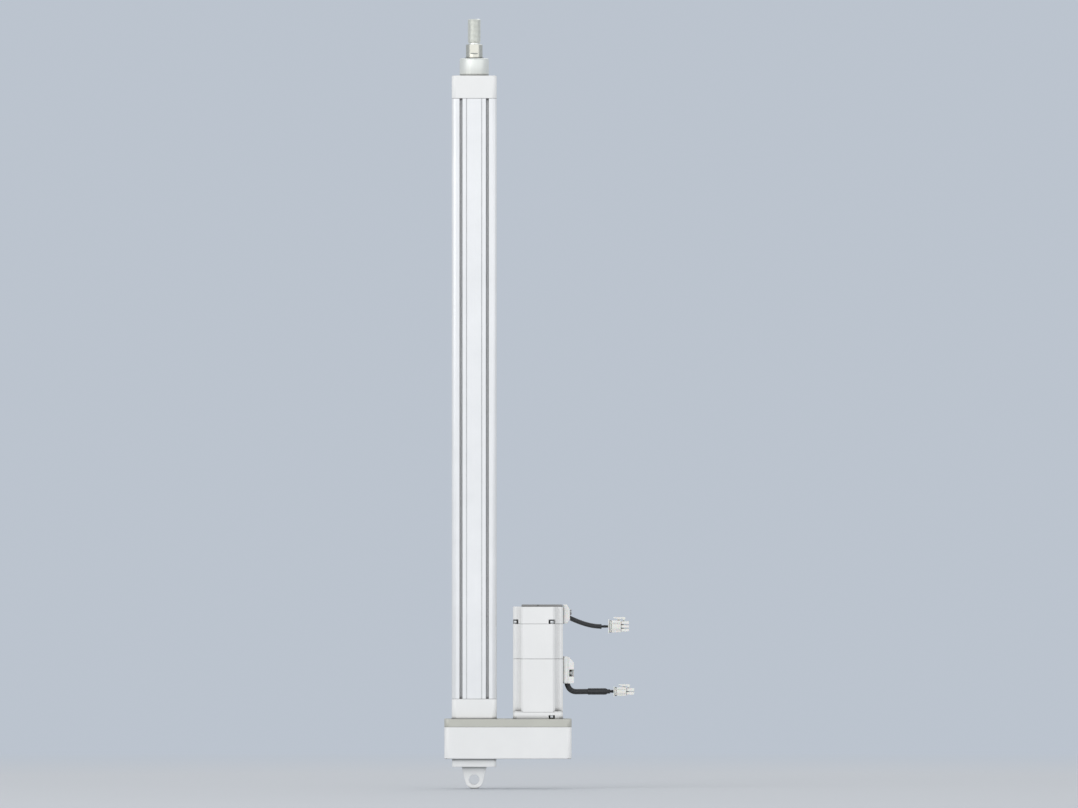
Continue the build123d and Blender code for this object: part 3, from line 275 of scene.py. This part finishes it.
def add_finish(
    name, colour, rough, metal=0.0, grain=900.0, stretch=(1, 1, 1), depth=0.02 * MM,
    cloud=0.05, spread=0.10, wear=None, seam=None, coat=0.0, sheen=0.0, specular=0.5,
    speckle=None, subsurface=0.0,
):
    """Adds a surface with cloudy tone, directed grain, rubbed edges and painted shade in seams.

    Wear is a fineness, a strength and a colour, seam the reach, strength and colour of painted
    shade, and speckle a fineness, a colour and a strength. Grain and fineness are in features per
    metre.
    """
    s = Shader(name)
    clouds = s.noise(CLOUDS_PER_METRE, 4.0)
    fine = s.noise(grain, 3.0, stretch)
    tone = s.spread(clouds, 0.3, 0.7, 1.0 - cloud, 1.0 + cloud * 0.4)
    streak = s.spread(fine, 0.25, 0.75, 1.0 - cloud * 0.7, 1.0)
    shade = s.grey(s.math("MULTIPLY", tone, streak))
    base = s.mix(1.0, (*colour, 1.0), shade, "MULTIPLY")
    roughness = s.spread(fine, 0.3, 0.7, rough - spread / 2, rough + spread / 2)
    roughness = s.math("ADD", roughness, s.spread(clouds, 0.3, 0.7, -spread / 3, spread / 3), True)
    metallic = metal
    if speckle:
        fineness, tint, strength = speckle
        spot = s.spread(s.noise(fineness, 1.0), 0.62, 0.7)
        base = s.mix(s.math("MULTIPLY", spot, strength), base, (*tint, 1.0))
    # Painted shade: seams, corners and recesses are darkened towards a colour where shade falls,
    # and made a little rougher.
    if seam:
        reach, strength, tint = seam
        painted_shade = s.math("MULTIPLY", s.crevice_shade(reach), strength)
        base = s.mix(painted_shade, base, (*tint, 1.0))
        roughness = s.math("ADD", roughness, s.math("MULTIPLY", painted_shade, 0.25), True)
    if wear:
        fineness, strength, tint = wear
        broken = s.spread(s.noise(fineness, 4.0), 0.38, 0.62)
        rubbed = s.math("MULTIPLY", s.math("MULTIPLY", s.rubbed(RUBBED_R), broken), strength)
        base = s.mix(rubbed, base, (*tint, 1.0))
        roughness = s.math("SUBTRACT", roughness, s.math("MULTIPLY", rubbed, 0.15), True)
        if metal < 0.5:
            metallic = s.math("ADD", s.math("MULTIPLY", rubbed, 0.8), metal, True)
    s.link(base, s.main.inputs["Base Color"])
    s.link(roughness, s.main.inputs["Roughness"])
    s.link(metallic, s.main.inputs["Metallic"])
    s.link(s.bump(fine, depth), s.main.inputs["Normal"])
    s.main.inputs["Specular IOR Level"].default_value = specular
    s.main.inputs["Coat Weight"].default_value = coat
    s.main.inputs["Coat Roughness"].default_value = COAT_ROUGH
    s.main.inputs["Sheen Weight"].default_value = sheen
    if subsurface:
        s.main.inputs["Subsurface Weight"].default_value = subsurface
        s.main.inputs["Subsurface Scale"].default_value = SUBSURFACE_DEPTH
    FINISHES[name] = s.material


# Castings, profile, plate and collar
add_finish(
    "cast_white", (0.86, 0.865, 0.86), 0.42, grain=2600, depth=0.015 * MM, cloud=0.03,
    wear=(1500, 0.5, BARE), seam=(3.5 * MM, 0.85, PAINTED_SHADE_COLOUR), coat=0.15,
)
add_finish(
    "anodised_profile", (0.87, 0.875, 0.88), 0.40, metal=0.30, grain=2600, stretch=ALONG_Z,
    depth=0.012 * MM, wear=(1200, 0.45, BARE), seam=(3.5 * MM, 0.85, PAINTED_SHADE_COLOUR),
)
add_finish(
    "plate_grey", (0.57, 0.565, 0.505), 0.48, metal=0.35, grain=3200, depth=0.012 * MM,
    wear=(1500, 0.5, (0.74, 0.74, 0.70)), seam=(3.0 * MM, 0.8, PAINTED_SHADE_COLOUR),
)
add_finish(
    "collar_metal", (0.84, 0.85, 0.80), 0.45, metal=0.55, grain=3600, stretch=ROUND_Z,
    depth=0.004 * MM, cloud=0.03, spread=0.04, wear=(1200, 0.4, (0.9, 0.9, 0.9)),
    seam=(3.0 * MM, 0.8, PAINTED_SHADE_COLOUR),
)

# Motor and its covers
add_finish(
    "motor_white", (0.87, 0.872, 0.865), 0.40, grain=3000, depth=0.012 * MM, cloud=0.03,
    wear=(1500, 0.4, BARE), seam=(6.0 * MM, 0.9, PAINTED_SHADE_COLOUR), coat=0.2,
)
add_finish(
    "cover_white", (0.86, 0.86, 0.84), 0.50, grain=5200, depth=0.018 * MM, cloud=0.03,
    seam=(2.5 * MM, 0.8, PAINTED_SHADE_COLOUR), subsurface=0.08,
)
add_finish(
    "lid_grey", (0.27, 0.27, 0.27), 0.52, grain=5200, cloud=0.06,
    wear=(1500, 0.3, (0.4, 0.4, 0.4)), seam=(2.5 * MM, 0.6, (0.03, 0.03, 0.03)),
)

# Rod, rod end, screws and other metal
add_finish(
    "rod_chrome", (0.68, 0.655, 0.565), 0.27, metal=1.0, grain=5200, stretch=ROUND_Z,
    depth=0.003 * MM, cloud=0.03, spread=0.06, seam=(2.0 * MM, 0.5, DARK_SHADE),
)
add_finish(
    "thread_steel", (0.90, 0.905, 0.84), 0.30, metal=0.7, grain=3200, depth=0.002 * MM,
    cloud=0.03, seam=(0.7 * MM, 0.30, BROWN_SHADE),
)
add_finish(
    "screw_steel", (0.58, 0.58, 0.57), 0.30, metal=1.0, grain=2600, depth=0.006 * MM,
    cloud=0.08, seam=(1.5 * MM, 0.7, DARK_SHADE),
)
add_finish(
    "machined_steel", (0.55, 0.55, 0.54), 0.30, metal=1.0, grain=3000, stretch=ROUND_Z,
    depth=0.004 * MM, cloud=0.06,
)
add_finish(
    "bearing_steel", (0.62, 0.62, 0.63), 0.18, metal=1.0, grain=4000, stretch=ROUND_Z,
    depth=0.002 * MM, cloud=0.04,
)
add_finish(
    "turned_aluminium", (0.76, 0.765, 0.77), 0.30, metal=1.0, grain=2800, stretch=ROUND_Z,
    depth=0.006 * MM,
)
add_finish(
    "core_iron", (0.16, 0.16, 0.17), 0.45, metal=0.8, grain=2400, stretch=(0.05, 0.05, 1),
    depth=0.03 * MM, cloud=0.15,
)
add_finish(
    "winding_copper", (0.55, 0.23, 0.09), 0.28, metal=0.9, grain=1500, stretch=(1, 1, 0.08),
    depth=0.08 * MM, cloud=0.12, coat=0.4,
)
add_finish(
    "magnet_dark", (0.09, 0.09, 0.10), 0.38, metal=0.6, grain=2500, cloud=0.12,
)

# Polymers, rubber and the encoder's board and disc
add_finish(
    "bush_polymer", (0.06, 0.065, 0.07), 0.42, grain=3600, depth=0.01 * MM, cloud=0.10,
    speckle=(2600, (0.25, 0.25, 0.25), 0.3),
)
add_finish(
    "seal_rubber", (0.030, 0.030, 0.031), 0.55, grain=3000, cloud=0.15, sheen=0.1,
)
add_finish(
    "belt_rubber", (0.022, 0.022, 0.022), 0.60, grain=2600, depth=0.05 * MM, cloud=0.2,
    speckle=(1800, (0.05, 0.05, 0.05), 0.6),
)
add_finish(
    "board_green", (0.015, 0.13, 0.045), 0.30, grain=1500, cloud=0.2,
    speckle=(700, (0.65, 0.55, 0.25), 0.9), coat=0.4,
)
add_finish(
    "disc_clear", (0.28, 0.30, 0.32), 0.12, metal=0.3, grain=900, depth=0.004 * MM,
    cloud=0.06, coat=0.5,
)

# Leads and connectors
add_finish(
    "lead_black", (0.020, 0.020, 0.020), 0.46, grain=1700, depth=0.05 * MM, cloud=0.25,
    speckle=(1500, (0.07, 0.07, 0.065), 0.4), sheen=0.15,
)
add_finish(
    "sleeve_black", (0.016, 0.016, 0.016), 0.36, grain=1300, depth=0.10 * MM, cloud=0.25,
    specular=0.6,
)
add_finish(
    "wire_black", (0.022, 0.022, 0.023), 0.34, grain=2200, cloud=0.2,
)
add_finish(
    "connector_nylon", (0.84, 0.84, 0.80), 0.34, grain=2400, depth=0.015 * MM, cloud=0.04,
    seam=(2.2 * MM, 0.85, (0.11, 0.105, 0.09)), coat=0.1, subsurface=0.08,
)
add_finish(
    "contact_tin", (0.70, 0.70, 0.69), 0.26, metal=1.0, grain=3000, depth=0.006 * MM, cloud=0.1,
)

slot_of = {s["node"]: s["material_slot"] for s in frame["record"]["subparts"]}
for node_name, node in nodes.items():
    node.data.materials.clear()
    node.data.materials.append(FINISHES[slot_of[node_name]])


# Mesh helpers
def piece_of(name, shape, slot, smooth=35):
    """An object from a bmesh, with the finish of a material slot."""
    mesh = bpy.data.meshes.new(name)
    bmesh.ops.recalc_face_normals(shape, faces=shape.faces)
    shape.to_mesh(mesh)
    shape.free()
    mesh.materials.append(FINISHES[slot])
    mesh.shade_smooth()
    mesh.set_sharp_from_angle(angle=math.radians(smooth))
    made = bpy.data.objects.new(name, mesh)
    scene.collection.objects.link(made)
    return made


def placed(made, stands_for=(), body=BODY):
    """Parents a piece to its body's empty and hides the nodes it stands for."""
    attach(made, body)
    if stands_for:
        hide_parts(*stands_for)
    return made


def ring_of(shape, radius, height, count, turn=Matrix.Identity(4)):
    """A ring of vertices about Z, moved by a matrix."""
    made = []
    for i in range(count):
        a = 2 * math.pi * i / count
        r = radius(a) if callable(radius) else radius
        made.append(shape.verts.new(turn @ Vector((r * math.cos(a), r * math.sin(a), height))))
    return made


def stitch(shape, rings):
    """Faces between rings of equal count, with both ends closed."""
    for first, second in zip(rings, rings[1:]):
        count = len(first)
        for i in range(count):
            j = (i + 1) % count
            shape.faces.new((first[i], first[j], second[j], second[i]))
    shape.faces.new(list(reversed(rings[0])))
    shape.faces.new(rings[-1])


def turned(shape, profile, count, turn):
    """A solid of revolution about Z from (radius, height) pairs."""
    stitch(shape, [ring_of(shape, r, h, count, turn) for r, h in profile])


def round_edges(shape, edges, width, segments=2):
    """Rounds some edges of a bmesh."""
    bmesh.ops.bevel(
        shape, geom=list(edges), offset=width, segments=segments, profile=0.5, affect="EDGES"
    )


def boxed(shape, low, high, bevel, segments=2):
    """A box between two corners, with rounded edges."""
    made = bmesh.ops.create_cube(shape, size=1.0)["verts"]
    size = Vector(high) - Vector(low)
    for v in made:
        v.co = Vector(low) + Vector([(c + 0.5) * s for c, s in zip(v.co, size)])
    round_edges(shape, {e for v in made for e in v.link_edges}, bevel, segments)


def prism(shape, outline, y0, y1, bevel):
    """An outline in the XZ plane drawn out across Y, with rounded edges."""
    front = [shape.verts.new((x, y0, z)) for x, z in outline]
    back = [shape.verts.new((x, y1, z)) for x, z in outline]
    faces = [shape.faces.new(front), shape.faces.new(list(reversed(back)))]
    count = len(outline)
    for i in range(count):
        j = (i + 1) % count
        faces.append(shape.faces.new((front[i], back[i], back[j], front[j])))
    round_edges(shape, {e for f in faces for e in f.edges}, bevel)


def square_point(angle, half):
    """Where a ray at an angle leaves a square."""
    c, s = math.cos(angle), math.sin(angle)
    reach = half / max(abs(c), abs(s))
    return reach * c, reach * s


def socket(shape, x0, x1, y, z, half, hole, depth, chamfer=0.0):
    """A square bar along X whose end at x1 has a round blind hole."""
    count = 24
    sign = 1 if x1 > x0 else -1
    mouth, mouth_depth = 0.25 * MM, 0.3 * MM

    def square(x, size):
        made = []
        for i in range(count):
            dy, dz = square_point(2 * math.pi * (i + 0.5) / count, size)
            made.append(shape.verts.new((x, y + dy, z + dz)))
        return made

    def circle(x, radius):
        made = []
        for i in range(count):
            a = 2 * math.pi * (i + 0.5) / count
            made.append(shape.verts.new((x, y + radius * math.cos(a), z + radius * math.sin(a))))
        return made

    rings = [
        square(x0, half),
        square(x1 - sign * chamfer, half),
        square(x1, half - chamfer * 0.7),
        circle(x1, hole + mouth),
        circle(x1 - sign * mouth_depth, hole),
        circle(x1 - sign * depth, hole),
    ]
    stitch(shape, rings)


# Leads
def lead(name, route, radius, slot):
    """A sheathed lead as one smooth curve along its control points."""
    data = bpy.data.curves.new(name, "CURVE")
    data.dimensions = "3D"
    data.resolution_u = 24
    data.bevel_depth = radius
    data.bevel_resolution = 8
    data.use_fill_caps = True
    spline = data.splines.new("NURBS")
    spline.points.add(len(route) - 1)
    for point, (x, z) in zip(spline.points, route):
        point.co = (x, 0.0, z, 1.0)
    spline.order_u = 3
    spline.use_endpoint_u = True
    data.materials.append(FINISHES[slot])
    made = bpy.data.objects.new(name, data)
    scene.collection.objects.link(made)
    return made


def twisted_wires(name, x0, x1, z, reach, radius, turns, stands_for):
    """Four bare wires that twist round each other between two places along X."""
    shape = bmesh.new()
    steps, count = 40, 12
    slope = 2 * math.pi * turns * reach / (x1 - x0)
    for k in range(4):
        rings = []
        for i in range(steps + 1):
            share = i / steps
            a = math.pi / 4 + k * math.pi / 2 + 2 * math.pi * turns * share
            middle = Vector((x0 + (x1 - x0) * share, reach * math.cos(a), z + reach * math.sin(a)))
            along = Vector((1, -slope * math.sin(a), slope * math.cos(a))).normalized()
            across = along.cross(Vector((0, 0, 1))).normalized()
            upward = across.cross(along)
            ring = []
            for j in range(count):
                b = 2 * math.pi * j / count
                offset = math.cos(b) * across + math.sin(b) * upward
                ring.append(shape.verts.new(middle + radius * offset))
            rings.append(ring)
        stitch(shape, rings)
    return placed(piece_of(name, shape, "wire_black", smooth=60), stands_for)


def about_x(x, z):
    """Turns what stands along Z so that it lies along X from a place."""
    return Matrix.Translation((x, 0, z)) @ Matrix.Rotation(math.radians(90), 4, "Y")


def sheath_end(name, x, z, radius):
    """The cut end of a sheath: a shallow collar round the wires."""
    shape = bmesh.new()
    profile = [
        (radius * 0.90, -2.2 * MM), (radius * 1.04, -2.0 * MM), (radius * 1.06, -0.5 * MM),
        (radius * 0.98, -0.05 * MM), (radius * 0.80, 0.1 * MM), (radius * 0.72, -0.5 * MM),
    ]
    turned(shape, profile, 40, about_x(x, z))
    return placed(piece_of(name, shape, "sleeve_black"))


def shrink_sleeve():
    """The shrunk sleeve over the end of the power lead, with its narrower neck."""
    shape = bmesh.new()
    start, end = SLEEVE_X
    length, neck = end - start, SLEEVE_NECK_X - start
    z = (POWER_ROUTE[-2][1] + POWER_ROUTE[-1][1]) / 2
    profile = [(POWER_R + 0.05 * MM, 0.0), (3.55 * MM, 0.05 * MM), (3.9 * MM, 0.6 * MM)]
    for i in range(SLEEVE_STEPS + 1):
        share = i / SLEEVE_STEPS
        ripple = sum(h * math.sin(share * rate + phase) for h, rate, phase in SLEEVE_RIPPLES)
        profile.append((SLEEVE_R + ripple, SLEEVE_END + (length - 2 * SLEEVE_END) * share))
    profile += [
        (3.7 * MM, length - 0.5 * MM), (3.1 * MM, length + 0.2 * MM),
        (2.65 * MM, length + 0.9 * MM), (2.58 * MM, neck - 0.5 * MM),
        (2.4 * MM, neck - 0.1 * MM), (2.0 * MM, neck),
    ]
    turned(shape, profile, 48, about_x(start, z))
    made = piece_of("shrink_sleeve", shape, "sleeve_black", smooth=50)
    return placed(made, ["power_sleeve"])


# Connectors
def bars(shape, x0, x1, z, inner, outer, across, bevel):
    """Four bars round a square opening that faces along X."""
    for side in (-1, 1):
        near, far = sorted((side * inner, side * outer))
        boxed(shape, (x0, near, z - outer), (x1, far, z + outer), bevel)
        boxed(shape, (x0, -across, z + near), (x1, across, z + far), bevel)


def latch_lever(shape, a0, a1, low, high, root, tip):
    """A latch lever in side view, from its grip over its foot to its hook, with grip lines."""
    lever = [
        (a0, low + 0.5 * MM), (a0 + 0.7 * MM, low), (a0 + 4.9 * MM, low - 0.1 * MM),
        (a0 + 5.4 * MM, root), (a0 + 8.2 * MM, root), (a0 + 8.5 * MM, low - 0.1 * MM),
        (a1 - 3.2 * MM, low), (a1 - 3.0 * MM, tip), (a1 - 1.6 * MM, tip), (a1, low - 0.3 * MM),
        (a1, high - 0.5 * MM), (a1 - 0.6 * MM, high), (a0 + 3.6 * MM, high - 0.15 * MM),
        (a0 + 2.6 * MM, high), (a0 + 0.5 * MM, high),
    ]
    prism(shape, lever, -LEVER_HALF, LEVER_HALF, 0.22 * MM)
    for i in range(3):
        x = a0 + 0.7 * MM + GRIP_STEP * i
        corner = (x, -GRIP_HALF, high - 0.2 * MM)
        boxed(shape, corner, (x + 0.35 * MM, GRIP_HALF, high + 0.12 * MM), 0.1 * MM, 1)


def connector(name, face, z, rows, pitch, lip, body, prong, latch, stands_for):
    """A crimp connector: wire side cells, lip, ribbed case, hollow prongs and latch lever.

    Latch is the lever's length and how far it stands from the connector's axis.
    """
    shape = bmesh.new()
    lip_x = face + LIP_LENGTH
    case_x = lip_x + CASE_LENGTH
    prong_x = case_x + PRONG_LENGTH
    cell_x = face + CELL_DEPTH
    lap_x = case_x - CASE_LAP
    places = [pitch * (i - (rows - 1) / 2) for i in range(rows)]
    web = pitch * (rows - 1) / 2
    wide = pitch / 2 * rows
    half = body / 2
    bars(shape, face, lip_x, z, wide, lip / 2, wide, LIP_EDGE)
    boxed(shape, (cell_x, -half, z - half), (case_x, half, z + half), CASE_EDGE)
    wall_x = face + WALL_SET_BACK
    bars(shape, wall_x, cell_x + CASE_LAP, z, wide - WALL_LAP, half, half, THIN_EDGE)
    cell = (pitch / 2, CELL_HOLE_R, CELL_DEPTH)
    hollow = (prong / 2, PRONG_HOLE_R, PRONG_HOLE_DEPTH, PRONG_CHAMFER)
    for y in places:
        for dz in places:
            socket(shape, cell_x + CASE_LAP / 2, face + CELL_SET_BACK, y, z + dz, *cell)
            socket(shape, lap_x, prong_x, y, z + dz, *hollow)
    boxed(shape, (lap_x, -web, z - web), (case_x + WEB_LENGTH, web, z + web), THIN_EDGE)
    for side in (-1, 1):
        near, far = sorted((side * (half - RIB_ROOT), side * (half + RIB_RISE)))
        for dz in (-half * RIB_PLACE, half * RIB_PLACE):
            corner = (lip_x + RIB_FRONT, near, z + dz - RIB_HALF)
            boxed(shape, corner, (case_x - RIB_BACK, far, z + dz + RIB_HALF), THIN_EDGE)
    length, stand = latch
    start = face + LEVER_START
    low = z + stand
    root = z + half - 0.2 * MM
    tip = z + web + prong / 2 - 0.1 * MM
    latch_lever(shape, start, start + length, low, low + LEVER_THICK, root, tip)
    made = piece_of(name, shape, "connector_nylon", smooth=32)
    return placed(made, stands_for)


encoder_plug = connector(
    "encoder_plug", ENCODER_FACE_X, ENCODER_Z, rows=3, pitch=4.4 * MM, lip=17.2 * MM,
    body=14.3 * MM, prong=3.5 * MM, latch=(14.6 * MM, 9.8 * MM), stands_for=["encoder_connector"],
)
power_plug = connector(
    "power_plug", POWER_FACE_X, POWER_Z, rows=2, pitch=4.3 * MM, lip=12.4 * MM,
    body=10.3 * MM, prong=3.6 * MM, latch=(14.0 * MM, 7.3 * MM), stands_for=["power_connector"],
)
encoder_strands = twisted_wires(
    "encoder_strands", ENCODER_WIRES_X, ENCODER_FACE_X + WIRES_INSIDE, ENCODER_Z,
    reach=0.95 * MM, radius=0.62 * MM, turns=0.35, stands_for=["encoder_wires"],
)
power_strands = twisted_wires(
    "power_strands", POWER_WIRES_X, POWER_FACE_X + WIRES_INSIDE, POWER_WIRES_Z,
    reach=1.05 * MM, radius=0.72 * MM, turns=0.2, stands_for=["power_wires"],
)
encoder_end = sheath_end("encoder_sheath_end", ENCODER_ROUTE[-1][0], ENCODER_Z, ENCODER_R)
sleeve = shrink_sleeve()
encoder_cord = lead("encoder_cord", ENCODER_ROUTE, ENCODER_R, "lead_black")
placed(encoder_cord, ["encoder_lead"])
power_cord = lead("power_cord", POWER_ROUTE, POWER_R, "lead_black")
placed(power_cord, ["power_lead"])


# Rod end: a real helical thread above the relief neck
def threaded_stud():
    """The rod end with its root, relief neck, right-hand thread and centre hole."""
    shape = bmesh.new()
    count = 48
    neck_high = SHOULDER_Z + NECK_LENGTH
    top = neck_high + THREAD_LENGTH
    root_low = SHOULDER_Z - STUD_ROOT_DEPTH
    rings = [
        ring_of(shape, STUD_ROOT_R - 0.1 * MM, root_low, count),
        ring_of(shape, STUD_ROOT_R, root_low + 0.3 * MM, count),
        ring_of(shape, STUD_ROOT_R, SHOULDER_Z - 0.05 * MM, count),
        ring_of(shape, NECK_R + 0.2 * MM, SHOULDER_Z, count),
        ring_of(shape, NECK_R, SHOULDER_Z + 0.4 * MM, count),
        ring_of(shape, NECK_R, neck_high - 0.3 * MM, count),
    ]
    rows = int((top - neck_high) / THREAD_PITCH * ROWS_PER_PITCH)

    def thread(height):
        """The radius at a height as a function of the angle."""
        edge = min(height - neck_high, top - height)
        chamfer = TIP_CHAMFER if height > (top + neck_high) / 2 else NECK_CHAMFER
        limit = STUD_R - chamfer + edge

        def radius(a):
            phase = (height / THREAD_PITCH - a / (2 * math.pi)) % 1.0
            ramp = abs(phase - 0.5) * 2
            rise = min(1.0, max(0.0, (ramp - THREAD_ROOT_SHARE) / THREAD_FLANK_SHARE))
            return min(STUD_R - THREAD_DEPTH * (1 - rise), limit)

        return radius

    for i in range(rows + 1):
        height = neck_high + (top - neck_high) * i / rows
        rings.append(ring_of(shape, thread(height), height, count))
    centre_hole = [
        (2.6 * MM, 0.0), (2.3 * MM, 0.3 * MM), (0.9 * MM, 2.6 * MM), (0.8 * MM, 3.4 * MM),
    ]
    for hole_r, depth in centre_hole:
        rings.append(ring_of(shape, hole_r, top - depth, count))
    stitch(shape, rings)
    made = piece_of("threaded_stud", shape, "thread_steel", smooth=50)
    return placed(made, ["rod_end_stud"], "rod")


threaded_stud()


# Soft edges, by modifiers that leave the nodes' meshes as they are
def soften(names, width, flat=True, clamp=False):
    """Welds some nodes, merges their flat faces if flat is set, and rounds sharp edges."""
    for name in names:
        node = nodes[name]
        weld = node.modifiers.new("weld", "WELD")
        weld.merge_threshold = WELD_GAP
        if flat:
            merge = node.modifiers.new("merge", "DECIMATE")
            merge.decimate_type = "DISSOLVE"
            merge.angle_limit = FLAT_ANGLE
        bevel = node.modifiers.new("round", "BEVEL")
        bevel.width = width
        bevel.segments = EDGE_SEGMENTS
        bevel.limit_method = "ANGLE"
        bevel.angle_limit = EDGE_ANGLE
        bevel.use_clamp_overlap = clamp
        bevel.harden_normals = True


soften(["belt_housing", "rear_head", "front_head", "rear_eye", "front_collar"], HEAD_EDGE)
soften(["stator_housing", "brake_housing", "encoder_cap"], MOTOR_EDGE)
soften(["drive_plate", "motor_flange"], PLATE_EDGE)
soften(["profile_tube"], TUBE_EDGE, flat=False)
covers = ["encoder_cable_cover", "power_cable_cover", "power_cover_lid", "encoder_top_cover"]
soften(covers, COVER_EDGE)
screws = ["cover_screws", "motor_tie_screws", "motor_tie_nuts", "eye_screws", "front_tie_screws"]
soften(screws, SCREW_EDGE, flat=False, clamp=True)


# Light, floor and backdrop
BACKDROP = (0.50, 0.55, 0.62)
SURROUND_STRENGTH = 0.62
FLOOR_COLOUR = (0.60, 0.63, 0.67, 1.0)
FLOOR_R = 3.2
FLOOR_FADE = (1.2, 3.0)
FLOOR_Z = cad_low[2] - 0.05 * MM


def shown_rays(tree):
    """1 for rays that should see the backdrop: from the camera, or through gloss or glass."""
    path = tree.nodes.new("ShaderNodeLightPath")
    total = path.outputs["Is Camera Ray"]
    for name in ("Is Glossy Ray", "Is Transmission Ray"):
        add = tree.nodes.new("ShaderNodeMath")
        add.operation = "MAXIMUM"
        tree.links.new(total, add.inputs[0])
        tree.links.new(path.outputs[name], add.inputs[1])
        total = add.outputs[0]
    return total


def make_world(strength):
    """An even white light from all sides, which shown rays see as the backdrop."""
    world = bpy.data.worlds.new("world")
    world.use_nodes = True
    tree = world.node_tree
    light = tree.nodes["Background"]
    light.inputs["Color"].default_value = (1.0, 1.0, 1.0, 1.0)
    light.inputs["Strength"].default_value = strength
    shown = tree.nodes.new("ShaderNodeBackground")
    shown.inputs["Color"].default_value = (*BACKDROP, 1.0)
    mix = tree.nodes.new("ShaderNodeMixShader")
    tree.links.new(shown_rays(tree), mix.inputs[0])
    tree.links.new(light.outputs[0], mix.inputs[1])
    tree.links.new(shown.outputs[0], mix.inputs[2])
    tree.links.new(mix.outputs[0], tree.nodes["World Output"].inputs["Surface"])
    scene.world = world


def make_floor():
    """A pale round floor whose rim melts into the backdrop."""
    shape = bmesh.new()
    bmesh.ops.create_circle(shape, cap_ends=True, segments=128, radius=FLOOR_R)
    mesh = bpy.data.meshes.new("floor")
    shape.to_mesh(mesh)
    shape.free()
    floor = bpy.data.objects.new("floor", mesh)
    floor.location = (VIEW_X, 0, FLOOR_Z)
    scene.collection.objects.link(floor)
    s = Shader("floor")
    s.link(FLOOR_COLOUR, s.main.inputs["Base Color"])
    s.main.inputs["Specular IOR Level"].default_value = 0.1
    s.link(s.spread(s.noise(60, 3), 0.3, 0.7, 0.8, 0.95), s.main.inputs["Roughness"])
    length = s.tree.nodes.new("ShaderNodeVectorMath")
    length.operation = "LENGTH"
    s.link(s.coords, length.inputs[0])
    fade = s.spread(length.outputs["Value"], *FLOOR_FADE)
    glow = s.tree.nodes.new("ShaderNodeEmission")
    glow.inputs["Color"].default_value = (*BACKDROP, 1.0)
    mix = s.tree.nodes.new("ShaderNodeMixShader")
    s.link(s.math("MULTIPLY", fade, shown_rays(s.tree)), mix.inputs[0])
    s.tree.links.new(s.main.outputs[0], mix.inputs[1])
    s.tree.links.new(glow.outputs[0], mix.inputs[2])
    s.tree.links.new(mix.outputs[0], s.tree.nodes["Material Output"].inputs["Surface"])
    mesh.materials.append(s.material)


def panel(name, place, size, brightness, target=(VIEW_X, 0.0, 0.42)):
    """A wide soft lamp, given by its radiance, that faces a target unseen by the camera."""
    data = bpy.data.lights.new(name, "AREA")
    data.shape = "RECTANGLE"
    data.size, data.size_y = size
    data.energy = brightness * math.pi * size[0] * size[1]
    lamp = bpy.data.objects.new(name, data)
    lamp.location = place
    lamp.rotation_mode = "QUATERNION"
    lamp.rotation_quaternion = (Vector(target) - Vector(place)).to_track_quat("-Z", "Y")
    lamp.visible_camera = False
    scene.collection.objects.link(lamp)


make_world(SURROUND_STRENGTH)
make_floor()
panel("key", (-3.4, -3.2, 2.2), (4.4, 4.0), 1.3)
panel("front", (VIEW_X, -6.5, 2.1), (9.0, 4.2), 0.85, (VIEW_X, 0.0, 2.1))
panel("side", (3.6, -2.6, 1.6), (2.6, 3.0), 0.9)
panel("back", (0.4, 2.3, 3.4), (3.4, 3.0), 0.9)
scene.view_settings.view_transform = "Standard"
